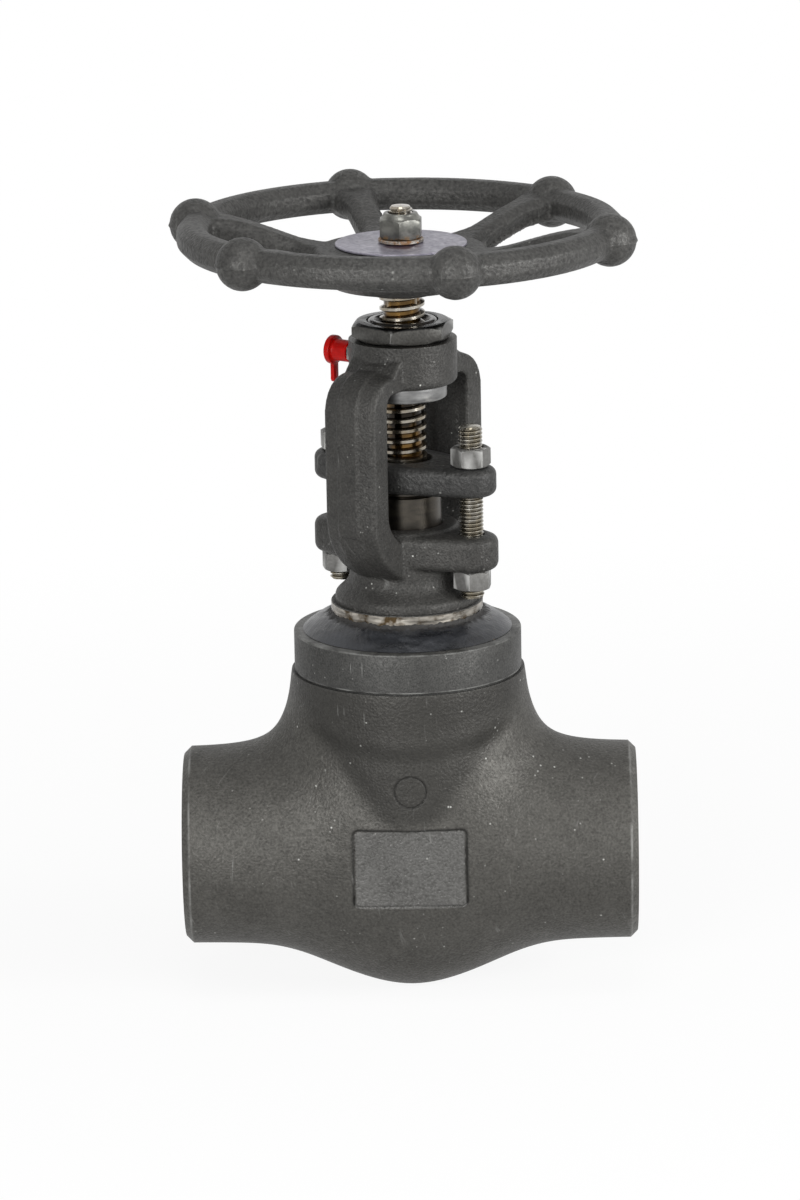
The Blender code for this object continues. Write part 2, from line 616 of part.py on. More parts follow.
def add_stem(mat, parent):
    """Head in the disc, backseat collar, shank, square for the wheel and a bolt tip."""
    head_low = DISC_TOP - DISC_POCKET + FIT
    head_top = head_low + STEM_HEAD_HEIGHT
    seat = BACKSEAT_LEVEL
    cone = BACKSEAT_RADIUS - STEM_RADIUS
    shank_top = WHEEL_SEAT - FIT
    shank = turned([(0, head_low), (STEM_HEAD_RADIUS, head_low), (STEM_HEAD_RADIUS, head_top),
                    (STEM_NECK_RADIUS, head_top), (STEM_NECK_RADIUS, seat - BACKSEAT_COLLAR - COLLAR_SLOPE),
                    (BACKSEAT_RADIUS, seat - BACKSEAT_COLLAR), (BACKSEAT_RADIUS, seat),
                    (STEM_RADIUS, seat + cone), (STEM_RADIUS, shank_top), (0, shank_top)])
    stem = add_object("stem", shank, mat, parent)
    low, high = WHEEL_SEAT - PAST, WHEEL_TOP - SQUARE_SHORT
    square = block((WHEEL_SQUARE, WHEEL_SQUARE, high - low), (0, 0, (low + high) / 2.0))
    combine(stem, add_guide("wheel_square", square, stem), "UNION")
    end = WHEEL_TOP + TIP_LENGTH
    tip = turned([(0, WHEEL_SEAT), (TIP_RADIUS, WHEEL_SEAT), (TIP_RADIUS, end - TIP_CHAMFER),
                  (TIP_RADIUS - TIP_CHAMFER, end), (0, end)], ROUND_SMALL)
    combine(stem, add_guide("stem_tip", tip, stem), "UNION")
    return settle(stem)


def leg_section(along, height, lean, thickness):
    """Section of a yoke leg: flat inside, and outside a flat crown with a drafted flank on each hand."""
    half = LEG_WIDTH / 2.0
    inner = -thickness / 2.0
    outer = thickness / 2.0
    side = outer - LEG_DRAFT
    right = [(half - LEG_EDGE, inner), (half, inner + LEG_EDGE), (half, side - LEG_EDGE),
             (half - LEG_EDGE, side), (LEG_CROWN, outer)]
    left = [(-a, b) for a, b in reversed(right)]
    outward = LEG_LINE * math.cos(lean) + Vector((0, 0, math.sin(lean)))
    centre = LEG_LINE * along + Vector((0, 0, height))
    return [centre + STUD_LINE * a + outward * b for a, b in right + left]


def yoke_leg():
    """One leg from the yoke hub over its shoulder and down into the bonnet neck."""
    middle = LEG_INNER + LEG_THICKNESS / 2.0
    bend = SHOULDER_RADIUS - LEG_THICKNESS / 2.0
    corner = middle - bend
    root = ARM_THICKNESS + ARM_FLARE
    under = YOKE_HUB_BOTTOM + FIT
    top = under + ARM_THICKNESS / 2.0
    upright = math.pi / 2
    wall = ARM_THICKNESS + ARM_FLARE * 2 / 3
    rings = [leg_section(YOKE_BORE + EASE, under + root / 2.0, upright, root),
             leg_section(YOKE_HUB_RADIUS - 2 * LEG_EDGE, under + wall / 2.0, upright, wall)]
    for k in range(LEG_STEPS + 1):
        lean = upright * (1 - k / LEG_STEPS)
        depth = ARM_THICKNESS + (LEG_THICKNESS - ARM_THICKNESS) * k / LEG_STEPS
        rings.append(leg_section(corner + bend * math.cos(lean), top - bend + bend * math.sin(lean),
                                 lean, depth))
    foot = EAR_TOP + LEG_FOOT_RISE
    rings.append(leg_section(middle, foot, 0.0, LEG_THICKNESS))
    sweep = (middle - BONNET_NECK_RADIUS + LEG_FOOT_SINK) / (1 - math.cos(LEG_FOOT_LEAN))
    for k in range(1, LEG_STEPS):
        share = k / (LEG_STEPS - 1)
        lean = LEG_FOOT_LEAN * share
        rings.append(leg_section(middle - sweep * (1 - math.cos(lean)),
                                 foot - sweep * LEG_FOOT_SHARE * math.sin(lean),
                                 -lean, LEG_THICKNESS + LEG_FOOT_SWELL * share))
    return lofted(rings)


def flange_outline(half_width, offset, radius):
    """Plan of a two-hole flange: a broad middle drawn in to two round ends, along the stud line."""
    outline = []
    for side in (1, -1):
        lean = math.asin((half_width - radius) / offset)
        for k in range(2 * ARC + 1):
            angle = -math.pi / 2 + lean + k * (math.pi - 2 * lean) / (2 * ARC)
            outline.append((side * (offset + radius * math.cos(angle)), side * radius * math.sin(angle)))
        for k in range(1, ARC):
            angle = math.pi / 2 - lean + k * 2 * lean / ARC
            outline.append((side * half_width * math.cos(angle), side * half_width * math.sin(angle)))
    turn = Matrix.Rotation(STUD_TURN, 2)
    return [turn @ Vector(p) for p in outline]


def stud_holes(obj, low, high):
    """Two clearance holes on the stud line, named after the side they are on."""
    for word, side in (("right", 1), ("left", -1)):
        spot = STUD_LINE * STUD_OFFSET * side
        hole = rod(STUD_RADIUS + FIT, spot + Vector((0, 0, low - PAST)), spot + Vector((0, 0, high + PAST)))
        combine(obj, add_guide("%s_hole_%s" % (obj.name, word), hole, obj), "DIFFERENCE")


def add_bonnet_yoke(mat, parent):
    """Bonnet, stuffing box, gland ears, two legs and yoke hub, forged in one piece."""
    neck = BONNET_NECK_RADIUS
    foot = RING_TOP + BONNET_FOOT_RISE
    spindle = turned([(0, SPIGOT_BOTTOM), (SPIGOT_RADIUS - EASE, SPIGOT_BOTTOM),
                      (SPIGOT_RADIUS, SPIGOT_BOTTOM + EASE), (SPIGOT_RADIUS, RING_BOTTOM),
                      (BONNET_RING_RADIUS, RING_BOTTOM), (BONNET_RING_RADIUS, RING_TOP),
                      (neck + BONNET_FOOT, RING_TOP, BONNET_FOOT / 2.0), (neck, foot, BONNET_FILLET),
                      (neck, BOX_TOP - BOX_EDGE), (neck - BOX_EDGE, BOX_TOP), (0, BOX_TOP)])
    yoke = add_object("bonnet_yoke", spindle, mat, parent)
    ears = extruded(flange_outline(neck - FIT, STUD_OFFSET, EAR_RADIUS), EAR_BOTTOM, EAR_TOP, EAR_EDGE)
    combine(yoke, add_guide("gland_ears", ears, yoke), "UNION")
    rim = YOKE_HUB_RADIUS - YOKE_HUB_EDGE
    hub = turned([(YOKE_BORE, YOKE_HUB_BOTTOM), (rim, YOKE_HUB_BOTTOM),
                  (YOKE_HUB_RADIUS, YOKE_HUB_BOTTOM + YOKE_HUB_EDGE),
                  (YOKE_HUB_RADIUS, YOKE_HUB_TOP - YOKE_HUB_EDGE), (rim, YOKE_HUB_TOP),
                  (YOKE_BORE, YOKE_HUB_TOP)], ROUND_WIDE)
    combine(yoke, add_guide("yoke_hub", hub, yoke), "UNION")
    for k in range(2):
        leg = yoke_leg()
        bmesh.ops.rotate(leg, matrix=Matrix.Rotation(math.pi * k, 3, "Z"), verts=leg.verts)
        combine(yoke, add_guide("yoke_leg_%d" % (k + 1), leg, yoke), "UNION")
    bush = BACKSEAT_BUSH_RADIUS + FIT
    shelf = BACKSEAT_BUSH_TOP + FIT
    bore = turned([(0, SPIGOT_BOTTOM - PAST), (bush, SPIGOT_BOTTOM - PAST), (bush, shelf), (STEM_BORE, shelf),
                   (STEM_BORE, BOX_FLOOR), (BOX_RADIUS, BOX_FLOOR), (BOX_RADIUS, BOX_TOP + PAST),
                   (0, BOX_TOP + PAST)], ROUND_BORE)
    combine(yoke, add_guide("stuffing_box", bore, yoke), "DIFFERENCE")
    stud_holes(yoke, EAR_BOTTOM, EAR_TOP)
    level = Vector((0, 0, YOKE_HUB_BOTTOM + NIPPLE_RISE))
    outer = level - STUD_LINE * (YOKE_HUB_RADIUS + PAST)
    inner = level - STUD_LINE * (YOKE_HUB_RADIUS - NIPPLE_THREAD_DEPTH - FIT)
    thread = rod(NIPPLE_THREAD_RADIUS + FIT, inner, outer, 16)
    combine(yoke, add_guide("nipple_hole", thread, yoke), "DIFFERENCE")
    return settle(yoke)


def add_seal_weld(mat, parent):
    """Bead that closes the corner between the bonnet ring and the body's top face."""
    inner = BONNET_RING_RADIUS + FIT
    low = BODY_TOP + FIT
    slope = [(WELD_RADIUS, low)]
    for k in range(1, ARC):
        share = k / ARC
        bulge = WELD_CROWN * math.sin(math.pi * share)
        radius = WELD_RADIUS + (inner - WELD_RADIUS) * share
        slope.append((radius + bulge, low + WELD_HEIGHT * share + bulge))
    return add_ring("seal_weld", mat, parent, [(inner, low), *slope, (inner, low + WELD_HEIGHT)], ROUND_WIDE)


def add_backseat_bushing(mat, parent):
    low = BACKSEAT_BUSH_BOTTOM
    return add_ring("backseat_bushing", mat, parent,
                    [(STEM_BORE + BACKSEAT_CONE, low), (BACKSEAT_BUSH_RADIUS, low),
                     (BACKSEAT_BUSH_RADIUS, BACKSEAT_BUSH_TOP), (STEM_BORE, BACKSEAT_BUSH_TOP),
                     (STEM_BORE, low + BACKSEAT_CONE)])


def add_packing(mats, parent):
    """Rings stacked on the box floor, braided ones first and last."""
    for k in range(PACKING_COUNT):
        low = BOX_FLOOR + FIT + k * (PACKING_HEIGHT + FIT)
        braided = k in (0, PACKING_COUNT - 1)
        add_ring("packing_ring_%d" % (k + 1), mats[0 if braided else 1], parent,
                 ring_profile(STEM_BORE, BOX_RADIUS - FIT, low, low + PACKING_HEIGHT), ROUND_SMALL)


def add_gland(mat, parent):
    low = BOX_FLOOR + FIT + PACKING_COUNT * (PACKING_HEIGHT + FIT)
    top = FLANGE_BOTTOM + GLAND_SPIGOT - FIT
    outer = BOX_RADIUS - FIT
    groove = FLANGE_BOTTOM - GLAND_GROOVE_DROP
    return add_ring("gland_bushing", mat, parent,
                    [(STEM_BORE, low), (outer, low), (outer, groove - GLAND_GROOVE),
                     (outer - GLAND_GROOVE, groove), (outer, groove + GLAND_GROOVE),
                     (outer, top), (STEM_BORE, top)])


def add_gland_flange(mat, parent):
    plan = flange_outline(FLANGE_HALF_WIDTH, STUD_OFFSET, FLANGE_RADIUS)
    flange = add_object("gland_flange", extruded(plan, FLANGE_BOTTOM, FLANGE_TOP, FLANGE_EDGE), mat, parent)
    shelf = FLANGE_BOTTOM + GLAND_SPIGOT
    inner = STEM_RADIUS + FLANGE_BORE_PLAY
    bore = turned([(0, FLANGE_BOTTOM - PAST), (BOX_RADIUS, FLANGE_BOTTOM - PAST), (BOX_RADIUS, shelf),
                   (inner, shelf), (inner, FLANGE_TOP + PAST), (0, FLANGE_TOP + PAST)])
    combine(flange, add_guide("flange_bore", bore, flange), "DIFFERENCE")
    stud_holes(flange, FLANGE_BOTTOM, FLANGE_TOP)
    return settle(flange)


def add_gland_bolting(mats, parent):
    """Two studs through the ears, each with a nut on the flange and one under the ear."""
    low_nut = EAR_BOTTOM - FIT - NUT_HEIGHT
    foot = low_nut - STUD_TAIL
    head = FLANGE_TOP + FIT + NUT_HEIGHT + STUD_PROUD
    slim = STUD_RADIUS - STUD_TIP
    for word, side in (("right", 1), ("left", -1)):
        spot = STUD_LINE * STUD_OFFSET * side
        stud = add_ring("gland_stud_" + word, mats[0], parent,
                        [(0, foot), (slim, foot), (STUD_RADIUS, foot + STUD_TIP),
                         (STUD_RADIUS, head - STUD_TIP),
                         (slim, head), (0, head)], ROUND_SMALL)
        stud.location = spot
        for level, low in (("upper", FLANGE_TOP + FIT), ("lower", low_nut)):
            key = level + "_" + word
            place = spot + Vector((0, 0, low))
            add_nut("gland_nut_" + key, mats[1], parent, place, NUT_ACROSS_FLATS, NUT_HEIGHT,
                    STUD_RADIUS + FIT, NUT_TURNS[key])


def add_yoke_bushing(mat, parent):
    under = YOKE_HUB_BOTTOM - FIT
    low = under - YOKE_BUSH_FLANGE_HEIGHT
    flange = YOKE_BUSH_FLANGE_RADIUS
    rim = YOKE_BUSH_RADIUS - YOKE_BUSH_EASE
    return add_ring("yoke_bushing", mat, parent,
                    [(STEM_BORE, low), (flange - EASE, low), (flange, low + EASE), (flange, under),
                     (YOKE_BUSH_RADIUS, under), (YOKE_BUSH_RADIUS, YOKE_BUSH_TOP - YOKE_BUSH_EASE),
                     (rim, YOKE_BUSH_TOP), (STEM_BORE + EASE, YOKE_BUSH_TOP),
                     (STEM_BORE, YOKE_BUSH_TOP - EASE)])


def add_nipple(mat, parent):
    """Grease nipple, modelled upright and laid over to point out of the yoke hub."""
    wide = NIPPLE_HEAD + NIPPLE_HEAD_SLOPE
    shank = turned([(0, -NIPPLE_THREAD_DEPTH), (NIPPLE_THREAD_RADIUS, -NIPPLE_THREAD_DEPTH),
                    (NIPPLE_THREAD_RADIUS, NIPPLE_SEAT + FIT), (NIPPLE_NECK_RADIUS, NIPPLE_SEAT + FIT),
                    (NIPPLE_NECK_RADIUS, NIPPLE_HEAD), (NIPPLE_HEAD_RADIUS, wide),
                    (NIPPLE_HEAD_RADIUS, wide + NIPPLE_HEAD_LENGTH), (NIPPLE_TIP_RADIUS, NIPPLE_LENGTH),
                    (0, NIPPLE_LENGTH)], 20)
    nipple = add_object("grease_nipple", shank, mat, parent)
    nut = extruded(hexagon(NIPPLE_HEX), NIPPLE_SEAT, NIPPLE_HEX_TOP)
    combine(nipple, add_guide("nipple_hex", nut, nipple), "UNION")
    return settle(nipple)


def add_cap(mat, parent):
    """Push-on cap with a broad end disc and a pull tab that hangs down."""
    low = NIPPLE_HEX_TOP + FIT
    top = NIPPLE_LENGTH + FIT + CAP_END
    disc = top - CAP_DISC_THICKNESS
    bore = NIPPLE_HEAD_RADIUS + FIT
    cap = add_ring("nipple_cap", mat, parent,
                   [(0, NIPPLE_LENGTH + FIT), (bore, NIPPLE_LENGTH + FIT), (bore, low), (CAP_RADIUS, low),
                    (CAP_RADIUS, disc - CAP_EASE), (CAP_DISC_RADIUS, disc), (CAP_DISC_RADIUS, top - CAP_EASE),
                    (CAP_DISC_RADIUS - CAP_EASE, top), (0, top)], ROUND_SMALL)
    end = -CAP_DISC_RADIUS - TAB_LENGTH
    half = TAB_WIDTH / 2.0
    tip = half - FIT
    tab = rounded([(-CAP_RADIUS, half), (end, half, tip), (end, -half, tip), (-CAP_RADIUS, -half)])
    strap = extruded(tab, disc + FIT, disc + FIT + TAB_THICKNESS)
    combine(cap, add_guide("cap_tab", strap, cap), "UNION")
    return settle(cap)


def bar_section(centre, outward, sideways, width, height, chamfer):
    """Eight-point section of a chamfered bar."""
    w, h = width / 2.0, height / 2.0
    corners = [(-w, -h + chamfer), (-w + chamfer, -h), (w - chamfer, -h), (w, -h + chamfer),
               (w, h - chamfer), (w - chamfer, h), (-w + chamfer, h), (-w, h - chamfer)]
    return [centre + sideways * a + outward * b for a, b in corners]


def wheel_spoke(angle):
    """A dished spoke from inside the web to inside the rim, widened at both roots."""
    out = Vector((math.cos(angle), math.sin(angle), 0.0))
    side = Vector((-math.sin(angle), math.cos(angle), 0.0))
    up = Vector((0, 0, 1))
    low = WEB_TOP - SPOKE_HEIGHT / 2.0 - EASE
    high = RIM_HEIGHT - SPOKE_DROP
    root = WEB_RADIUS - WEB_HAUNCH
    far = RIM_RADIUS - RIM_SECTION / 2.0
    stations = [(root - WEB_HAUNCH, SPOKE_ROOT), (WEB_RADIUS, SPOKE_ROOT), (WEB_RADIUS + SPOKE_FLARE_IN, 1.0),
                (far - SPOKE_FLARE_OUT, 1.0), (far, SPOKE_ROOT), (RIM_RADIUS, SPOKE_ROOT)]
    rings = []
    for radius, wide in stations:
        share = min(1.0, max(0.0, (radius - root) / (far - root)))
        rise = share * share * (3 - 2 * share)
        centre = out * radius + up * (low + (high - low) * rise)
        rings.append(bar_section(centre, up, side, SPOKE_WIDTH * wide, SPOKE_HEIGHT, SPOKE_CHAMFER))
    return lofted(rings)


def add_handwheel(mat, parent):
    """Rim, knobs, spokes and web fused into one forging, bored square for the stem."""
    side = RIM_SECTION / 2.0 / math.cos(math.pi / 8)
    turns = [(k + 0.5) * math.pi / 4 for k in range(8)]
    section = [(RIM_RADIUS + side * math.cos(a), RIM_HEIGHT + side * math.sin(a)) for a in turns]
    wheel = add_object("handwheel", turned(section, ROUND_WIDE), mat, parent)
    boss = WHEEL_BOSS_RADIUS
    seat = PLATE_RADIUS + PLATE_SEAT
    web = turned([(0, WHEEL_SEAT), (boss, WHEEL_SEAT),
                  (boss + WHEEL_BOSS_SLOPE, WHEEL_SEAT + WHEEL_BOSS_HEIGHT),
                  (WEB_RADIUS - WEB_HAUNCH, WEB_BOTTOM - WEB_EDGE), (WEB_RADIUS, WEB_BOTTOM + WEB_EDGE),
                  (WEB_RADIUS, WEB_TOP - WEB_EDGE), (WEB_RADIUS - WEB_EDGE, WEB_TOP),
                  (seat + WHEEL_TOP - WEB_TOP, WEB_TOP), (seat, WHEEL_TOP), (0, WHEEL_TOP)])
    combine(wheel, add_guide("wheel_web", web, wheel), "UNION")
    angles = [KNOB_TURN + k * math.tau / KNOB_COUNT for k in range(KNOB_COUNT)]
    for k, angle in enumerate(angles):
        combine(wheel, add_guide("wheel_spoke_%d" % (k + 1), wheel_spoke(angle), wheel), "UNION")
    circle = RIM_RADIUS + KNOB_OUTSET
    for k, angle in enumerate(angles):
        knob = bmesh.new()
        bmesh.ops.create_uvsphere(knob, u_segments=16, v_segments=8, radius=KNOB_RADIUS)
        place = (circle * math.cos(angle), circle * math.sin(angle), RIM_HEIGHT)
        bmesh.ops.translate(knob, vec=place, verts=knob.verts)
        combine(wheel, add_guide("wheel_knob_%d" % (k + 1), knob, wheel), "UNION")
    width = WHEEL_SQUARE + 2 * FIT
    hole = block((width, width, WHEEL_HUB_HEIGHT + 2 * PAST), (0, 0, (WHEEL_SEAT + WHEEL_TOP) / 2.0))
    combine(wheel, add_guide("wheel_square_hole", hole, wheel), "DIFFERENCE")
    return settle(wheel)


def add_wheel_fastening(mats, parent):
    """Bare round plate, washer and domed nut, clamped on the wheel by the stem's bolt tip."""
    bore = TIP_RADIUS + FIT
    plate = WHEEL_TOP + FIT
    washer = plate + PLATE_THICKNESS + FIT
    add_ring("id_plate", mats[0], parent,
             ring_profile(bore, PLATE_RADIUS, plate, plate + PLATE_THICKNESS), ROUND_WIDE)
    add_ring("handwheel_washer", mats[1], parent,
             ring_profile(bore, WASHER_RADIUS, washer, washer + WASHER_THICKNESS, WASHER_EASE), ROUND_SMALL)
    seat = (0, 0, washer + WASHER_THICKNESS + FIT)
    add_nut("handwheel_nut", mats[2], parent, seat, WHEEL_NUT_ACROSS_FLATS, WHEEL_NUT_HEX_HEIGHT,
            bore, WHEEL_NUT_TURN, (WHEEL_NUT_COLLAR_RADIUS, WHEEL_NUT_COLLAR_HEIGHT))


def build():
    clear_scene()
    valve = bpy.data.objects.new("valve_axes", None)
    moving = bpy.data.objects.new("stem_axis", None)
    greaser = bpy.data.objects.new("nipple_axis", None)
    for empty in (valve, moving, greaser):
        bpy.context.scene.collection.objects.link(empty)
    moving.parent = valve
    greaser.parent = valve
    greaser.location = Vector((0, 0, YOKE_HUB_BOTTOM + NIPPLE_RISE)) - STUD_LINE * YOKE_HUB_RADIUS
    greaser.rotation_euler = (0.0, -math.pi / 2, STUD_TURN)

    forged = finish("forged steel", (0.055, 0.053, 0.050), 0.55, 0.7)
    machined = finish("machined steel", (0.38, 0.36, 0.33), 0.35, 1.0)
    weld = finish("weld scale", (0.016, 0.017, 0.019), 0.35, 0.4)
    oiled = finish("oiled stem steel", (0.32, 0.27, 0.20), 0.25, 1.0)
    plated = finish("plated fastener steel", (0.28, 0.28, 0.27), 0.38, 1.0)
    hard = finish("hard facing", (0.50, 0.50, 0.50), 0.25, 1.0)
    bush = finish("bushing iron", (0.42, 0.42, 0.41), 0.4, 1.0)
    braid = finish("braided graphite", (0.05, 0.05, 0.055), 0.75, 0.0)
    graphite = finish("die formed graphite", (0.10, 0.10, 0.11), 0.5, 0.2)
    red = finish("red cap plastic", (0.55, 0.012, 0.010), 0.35, 0.0)
    plate = finish("anodised plate", (0.42, 0.40, 0.47), 0.45, 0.6)

    add_body(forged, valve)
    add_seat_ring(hard, valve)
    add_bonnet_yoke(forged, valve)
    add_seal_weld(weld, valve)
    add_backseat_bushing(bush, valve)
    add_packing((braid, graphite), valve)
    add_gland(machined, valve)
    add_gland_flange(forged, valve)
    add_gland_bolting((machined, plated), valve)
    add_yoke_bushing(bush, valve)
    add_nut("yoke_bushing_nut", plated, valve, (0, 0, YOKE_HUB_TOP + FIT), LOCKNUT_ACROSS_FLATS,
            LOCKNUT_HEIGHT, YOKE_BORE, LOCKNUT_TURN)
    add_nipple(plated, greaser)
    add_cap(red, greaser)
    add_disc(hard, moving)
    add_disc_nut(plated, moving)
    add_stem(oiled, moving)
    add_handwheel(forged, moving)
    add_wheel_fastening((plate, plated, plated), moving)


build()
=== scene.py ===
"""Looks of a forged steel globe valve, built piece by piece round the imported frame.

Metres, in the frame's own axes: X along the pipe, Z up the stem, the origin where the two cross.
"""

import math

import bmesh
import bpy
from mathutils import Matrix, Vector, noise


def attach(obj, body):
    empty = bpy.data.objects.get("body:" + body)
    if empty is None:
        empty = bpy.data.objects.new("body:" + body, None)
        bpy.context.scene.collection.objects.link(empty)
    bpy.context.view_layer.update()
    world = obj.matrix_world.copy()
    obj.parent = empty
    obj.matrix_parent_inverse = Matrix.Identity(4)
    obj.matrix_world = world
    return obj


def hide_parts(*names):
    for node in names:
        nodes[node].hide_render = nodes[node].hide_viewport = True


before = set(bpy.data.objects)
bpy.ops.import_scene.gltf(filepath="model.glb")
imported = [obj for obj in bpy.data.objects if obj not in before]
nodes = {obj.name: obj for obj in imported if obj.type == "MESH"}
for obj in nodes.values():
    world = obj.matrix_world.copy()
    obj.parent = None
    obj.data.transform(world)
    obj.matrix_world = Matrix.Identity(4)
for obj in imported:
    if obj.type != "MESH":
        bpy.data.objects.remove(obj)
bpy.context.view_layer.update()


# Forging of the valve body
# One piece of carbon steel, pressed hot in closed dies: two pipe hubs, a neck for the bonnet and a belly
# under the seat. An eight-sided bar is drawn up into the neck and subdivided, as the dies round it off.
half_length = 0.075
hub_radius = 0.0328
neck_radius = 0.0384
collar_bottom = 0.0606
collar_top = 0.0742
belly_bottom = -0.048
CAGE_RUN = 0.012
EIGHT_SIDED = 2 / 3 + math.cos(math.tau / 8) / 3


def let_go():
    if bpy.context.object and bpy.context.object.mode != "OBJECT":
        bpy.ops.object.mode_set(mode="OBJECT")
    bpy.ops.object.select_all(action="DESELECT")


def take(obj):
    """Make a piece the only selected and active object."""
    let_go()
    obj.select_set(True)
    bpy.context.view_layer.objects.active = obj


def edit(obj):
    take(obj)
    bpy.ops.object.mode_set(mode="EDIT")
    bpy.ops.mesh.select_mode(type="VERT")


def name_new(name):
    """Name the primitive that was just added and put its place into its mesh."""
    obj = bpy.context.object
    obj.name = name
    obj.data.name = name
    bpy.ops.object.transform_apply(location=True, rotation=True, scale=True)
    return obj


def pick(obj, kind, test):
    """In edit mode, select only the corners or faces whose place passes the test."""
    bpy.ops.mesh.select_mode(type=kind)
    bpy.ops.mesh.select_all(action="DESELECT")
    bm = bmesh.from_edit_mesh(obj.data)
    for item in (bm.verts if kind == "VERT" else bm.faces):
        place = item.co if kind == "VERT" else item.calc_center_median()
        if test(place):
            item.select_set(True)
    bm.select_flush_mode()
    bmesh.update_edit_mesh(obj.data)


def draw_to(obj, test, target):
    """Scale the picked corners about the origin until they reach the target's x, y and z."""
    pick(obj, "VERT", test)
    corner = next(v.co for v in bmesh.from_edit_mesh(obj.data).verts if v.select)
    factors = [goal / abs(here) if abs(here) > 1e-6 else 1.0 for goal, here in zip(target, corner)]
    bpy.ops.transform.resize(value=factors, center_override=(0, 0, 0))


def press(obj, rule):
    """Move every corner by what the rule gives for its place, as a die or a punch does."""
    for vert in obj.data.vertices:
        move = rule(vert.co)
        if move:
            vert.co += move
    obj.data.update()


def apply_step(obj, kind, **settings):
    """Add one modifier, set it and apply it."""
    take(obj)
    step = obj.modifiers.new(kind.lower(), kind)
    for key, value in settings.items():
        setattr(step, key, value)
    bpy.ops.object.modifier_apply(modifier=step.name)


def cut(obj, tool, operation="DIFFERENCE"):
    """Boolean with a tool, which is used up."""
    apply_step(obj, "BOOLEAN", operation=operation, object=tool, solver="EXACT")
    bpy.data.objects.remove(tool, do_unlink=True)


def shade(obj, degrees=35):
    take(obj)
    bpy.ops.object.shade_smooth_by_angle(angle=math.radians(degrees))


def turn(name, outline, steps=96):
    """Spin an outline of (radius, height) points into a closed round piece."""
    let_go()
    bpy.ops.mesh.primitive_plane_add(size=0.001)
    obj = name_new(name)
    edit(obj)
    bpy.ops.mesh.select_all(action="SELECT")
    bpy.ops.mesh.merge(type="CENTER")
    bpy.ops.transform.translate(value=(outline[0][0], 0, outline[0][1]))
    closed = outline[0][0] > 1e-6 or outline[-1][0] > 1e-6
    path = outline + outline[:1] if closed else outline
    for here, ahead in zip(path, path[1:]):
        step = (ahead[0] - here[0], 0, ahead[1] - here[1])
        bpy.ops.mesh.extrude_region_move(TRANSFORM_OT_translate={"value": step})
    bpy.ops.mesh.select_all(action="SELECT")
    bpy.ops.mesh.remove_doubles(threshold=1e-6)
    bpy.ops.mesh.select_all(action="SELECT")
    bpy.ops.mesh.spin(steps=steps, angle=math.tau, center=(0, 0, 0), axis=(0, 0, 1))
    bpy.ops.mesh.select_all(action="SELECT")
    bpy.ops.mesh.remove_doubles(threshold=1e-6)
    bpy.ops.mesh.normals_make_consistent(inside=False)
    bpy.ops.object.mode_set(mode="OBJECT")
    return obj


def bar(name, radius, start, end, sides=64):
    """A round bar between two points."""
    start, end = Vector(start), Vector(end)
    let_go()
    lean = Vector((0, 0, 1)).rotation_difference(end - start).to_euler()
    bpy.ops.mesh.primitive_cylinder_add(vertices=sides, radius=radius, depth=(end - start).length,
                                        location=(start + end) / 2, rotation=lean)
    return name_new(name)


def arc(centre, radius, start, end, count=6):
    """Points of a fillet or a round edge, its angles in degrees."""
    turns = [math.radians(start + (end - start) * k / count) for k in range(count + 1)]
    return [(centre[0] + radius * math.cos(a), centre[1] + radius * math.sin(a)) for a in turns]


def smooth_step(low, high, value):
    share = min(1.0, max(0.0, (value - low) / (high - low)))
    return share * share * (3 - 2 * share)


cage_hub = hub_radius / EIGHT_SIDED
cage_neck = neck_radius / EIGHT_SIDED
fillet = neck_radius + 0.0128
root = fillet + (half_length - fillet) / 6
let_go()
bpy.ops.mesh.primitive_cylinder_add(vertices=8, radius=cage_hub, depth=2 * (half_length + CAGE_RUN),
                                    rotation=(0, math.pi / 2, 0))
body = name_new("forged_body")
edit(body)
for x in (-root, -fillet, 0, fillet, root):
    bpy.ops.mesh.select_all(action="SELECT")
    bpy.ops.mesh.bisect(plane_co=(x, 0, 0), plane_no=(1, 0, 0))
pick(body, "FACE", lambda p: abs(p.x) < fillet and p.z > 0.7 * hub_radius)
for lift in range(2):
    bpy.ops.mesh.extrude_region_move(TRANSFORM_OT_translate={"value": (0, 0, 0.1)})

saddle_top = hub_radius + 0.0110
neck_foot = saddle_top + (collar_bottom - saddle_top) * 2 / 3
cage_top = collar_bottom + CAGE_RUN
slant = math.sqrt(0.5)
for level, height in ((0.1, neck_foot), (0.2, cage_top)):
    def at_level(p):
        return level < p.z < level + 0.09
    draw_to(body, lambda p: at_level(p) and abs(p.x) > 0.01 and abs(p.y) > 0.01,
            (cage_neck * slant, cage_neck * slant, height))
    draw_to(body, lambda p: at_level(p) and abs(p.x) > 0.01, (cage_neck, 0, height))
    draw_to(body, lambda p: at_level(p) and abs(p.y) > 0.01, (0, cage_neck, height))
draw_to(body, lambda p: p.z > 0.1, (0, 0, cage_top))
barrel_front = 0.037
belly_front = 0.0275
flank = neck_radius * 0.69
flank_level = hub_radius * 0.88
saddle = [(fillet, 0, saddle_top), (flank, hub_radius * 0.90, flank_level), (flank, barrel_front, 0),
          (0.037, belly_front, 0.0255), (0.037, 0, hub_radius + 0.0063)]
middle = [None, (0, cage_neck, flank_level), (0, barrel_front + 0.00315, 0),
          (0, belly_front, -0.90 * belly_bottom), (0, 0, 0.0138 - belly_bottom)]
for x, ring in ((fillet, saddle), (0, middle)):
    for k, target in enumerate(ring):
        level = cage_hub * math.cos(k * math.pi / 4)
        if target:
            draw_to(body, lambda p: abs(abs(p.x) - x) < 1e-4 and abs(p.z - level) < 1e-4, target)
pick(body, "FACE", lambda p: abs(p.x) > half_length)
bpy.ops.transform.edge_crease(value=1)
bpy.ops.object.mode_set(mode="OBJECT")
apply_step(body, "SUBSURF", levels=4, render_levels=4)

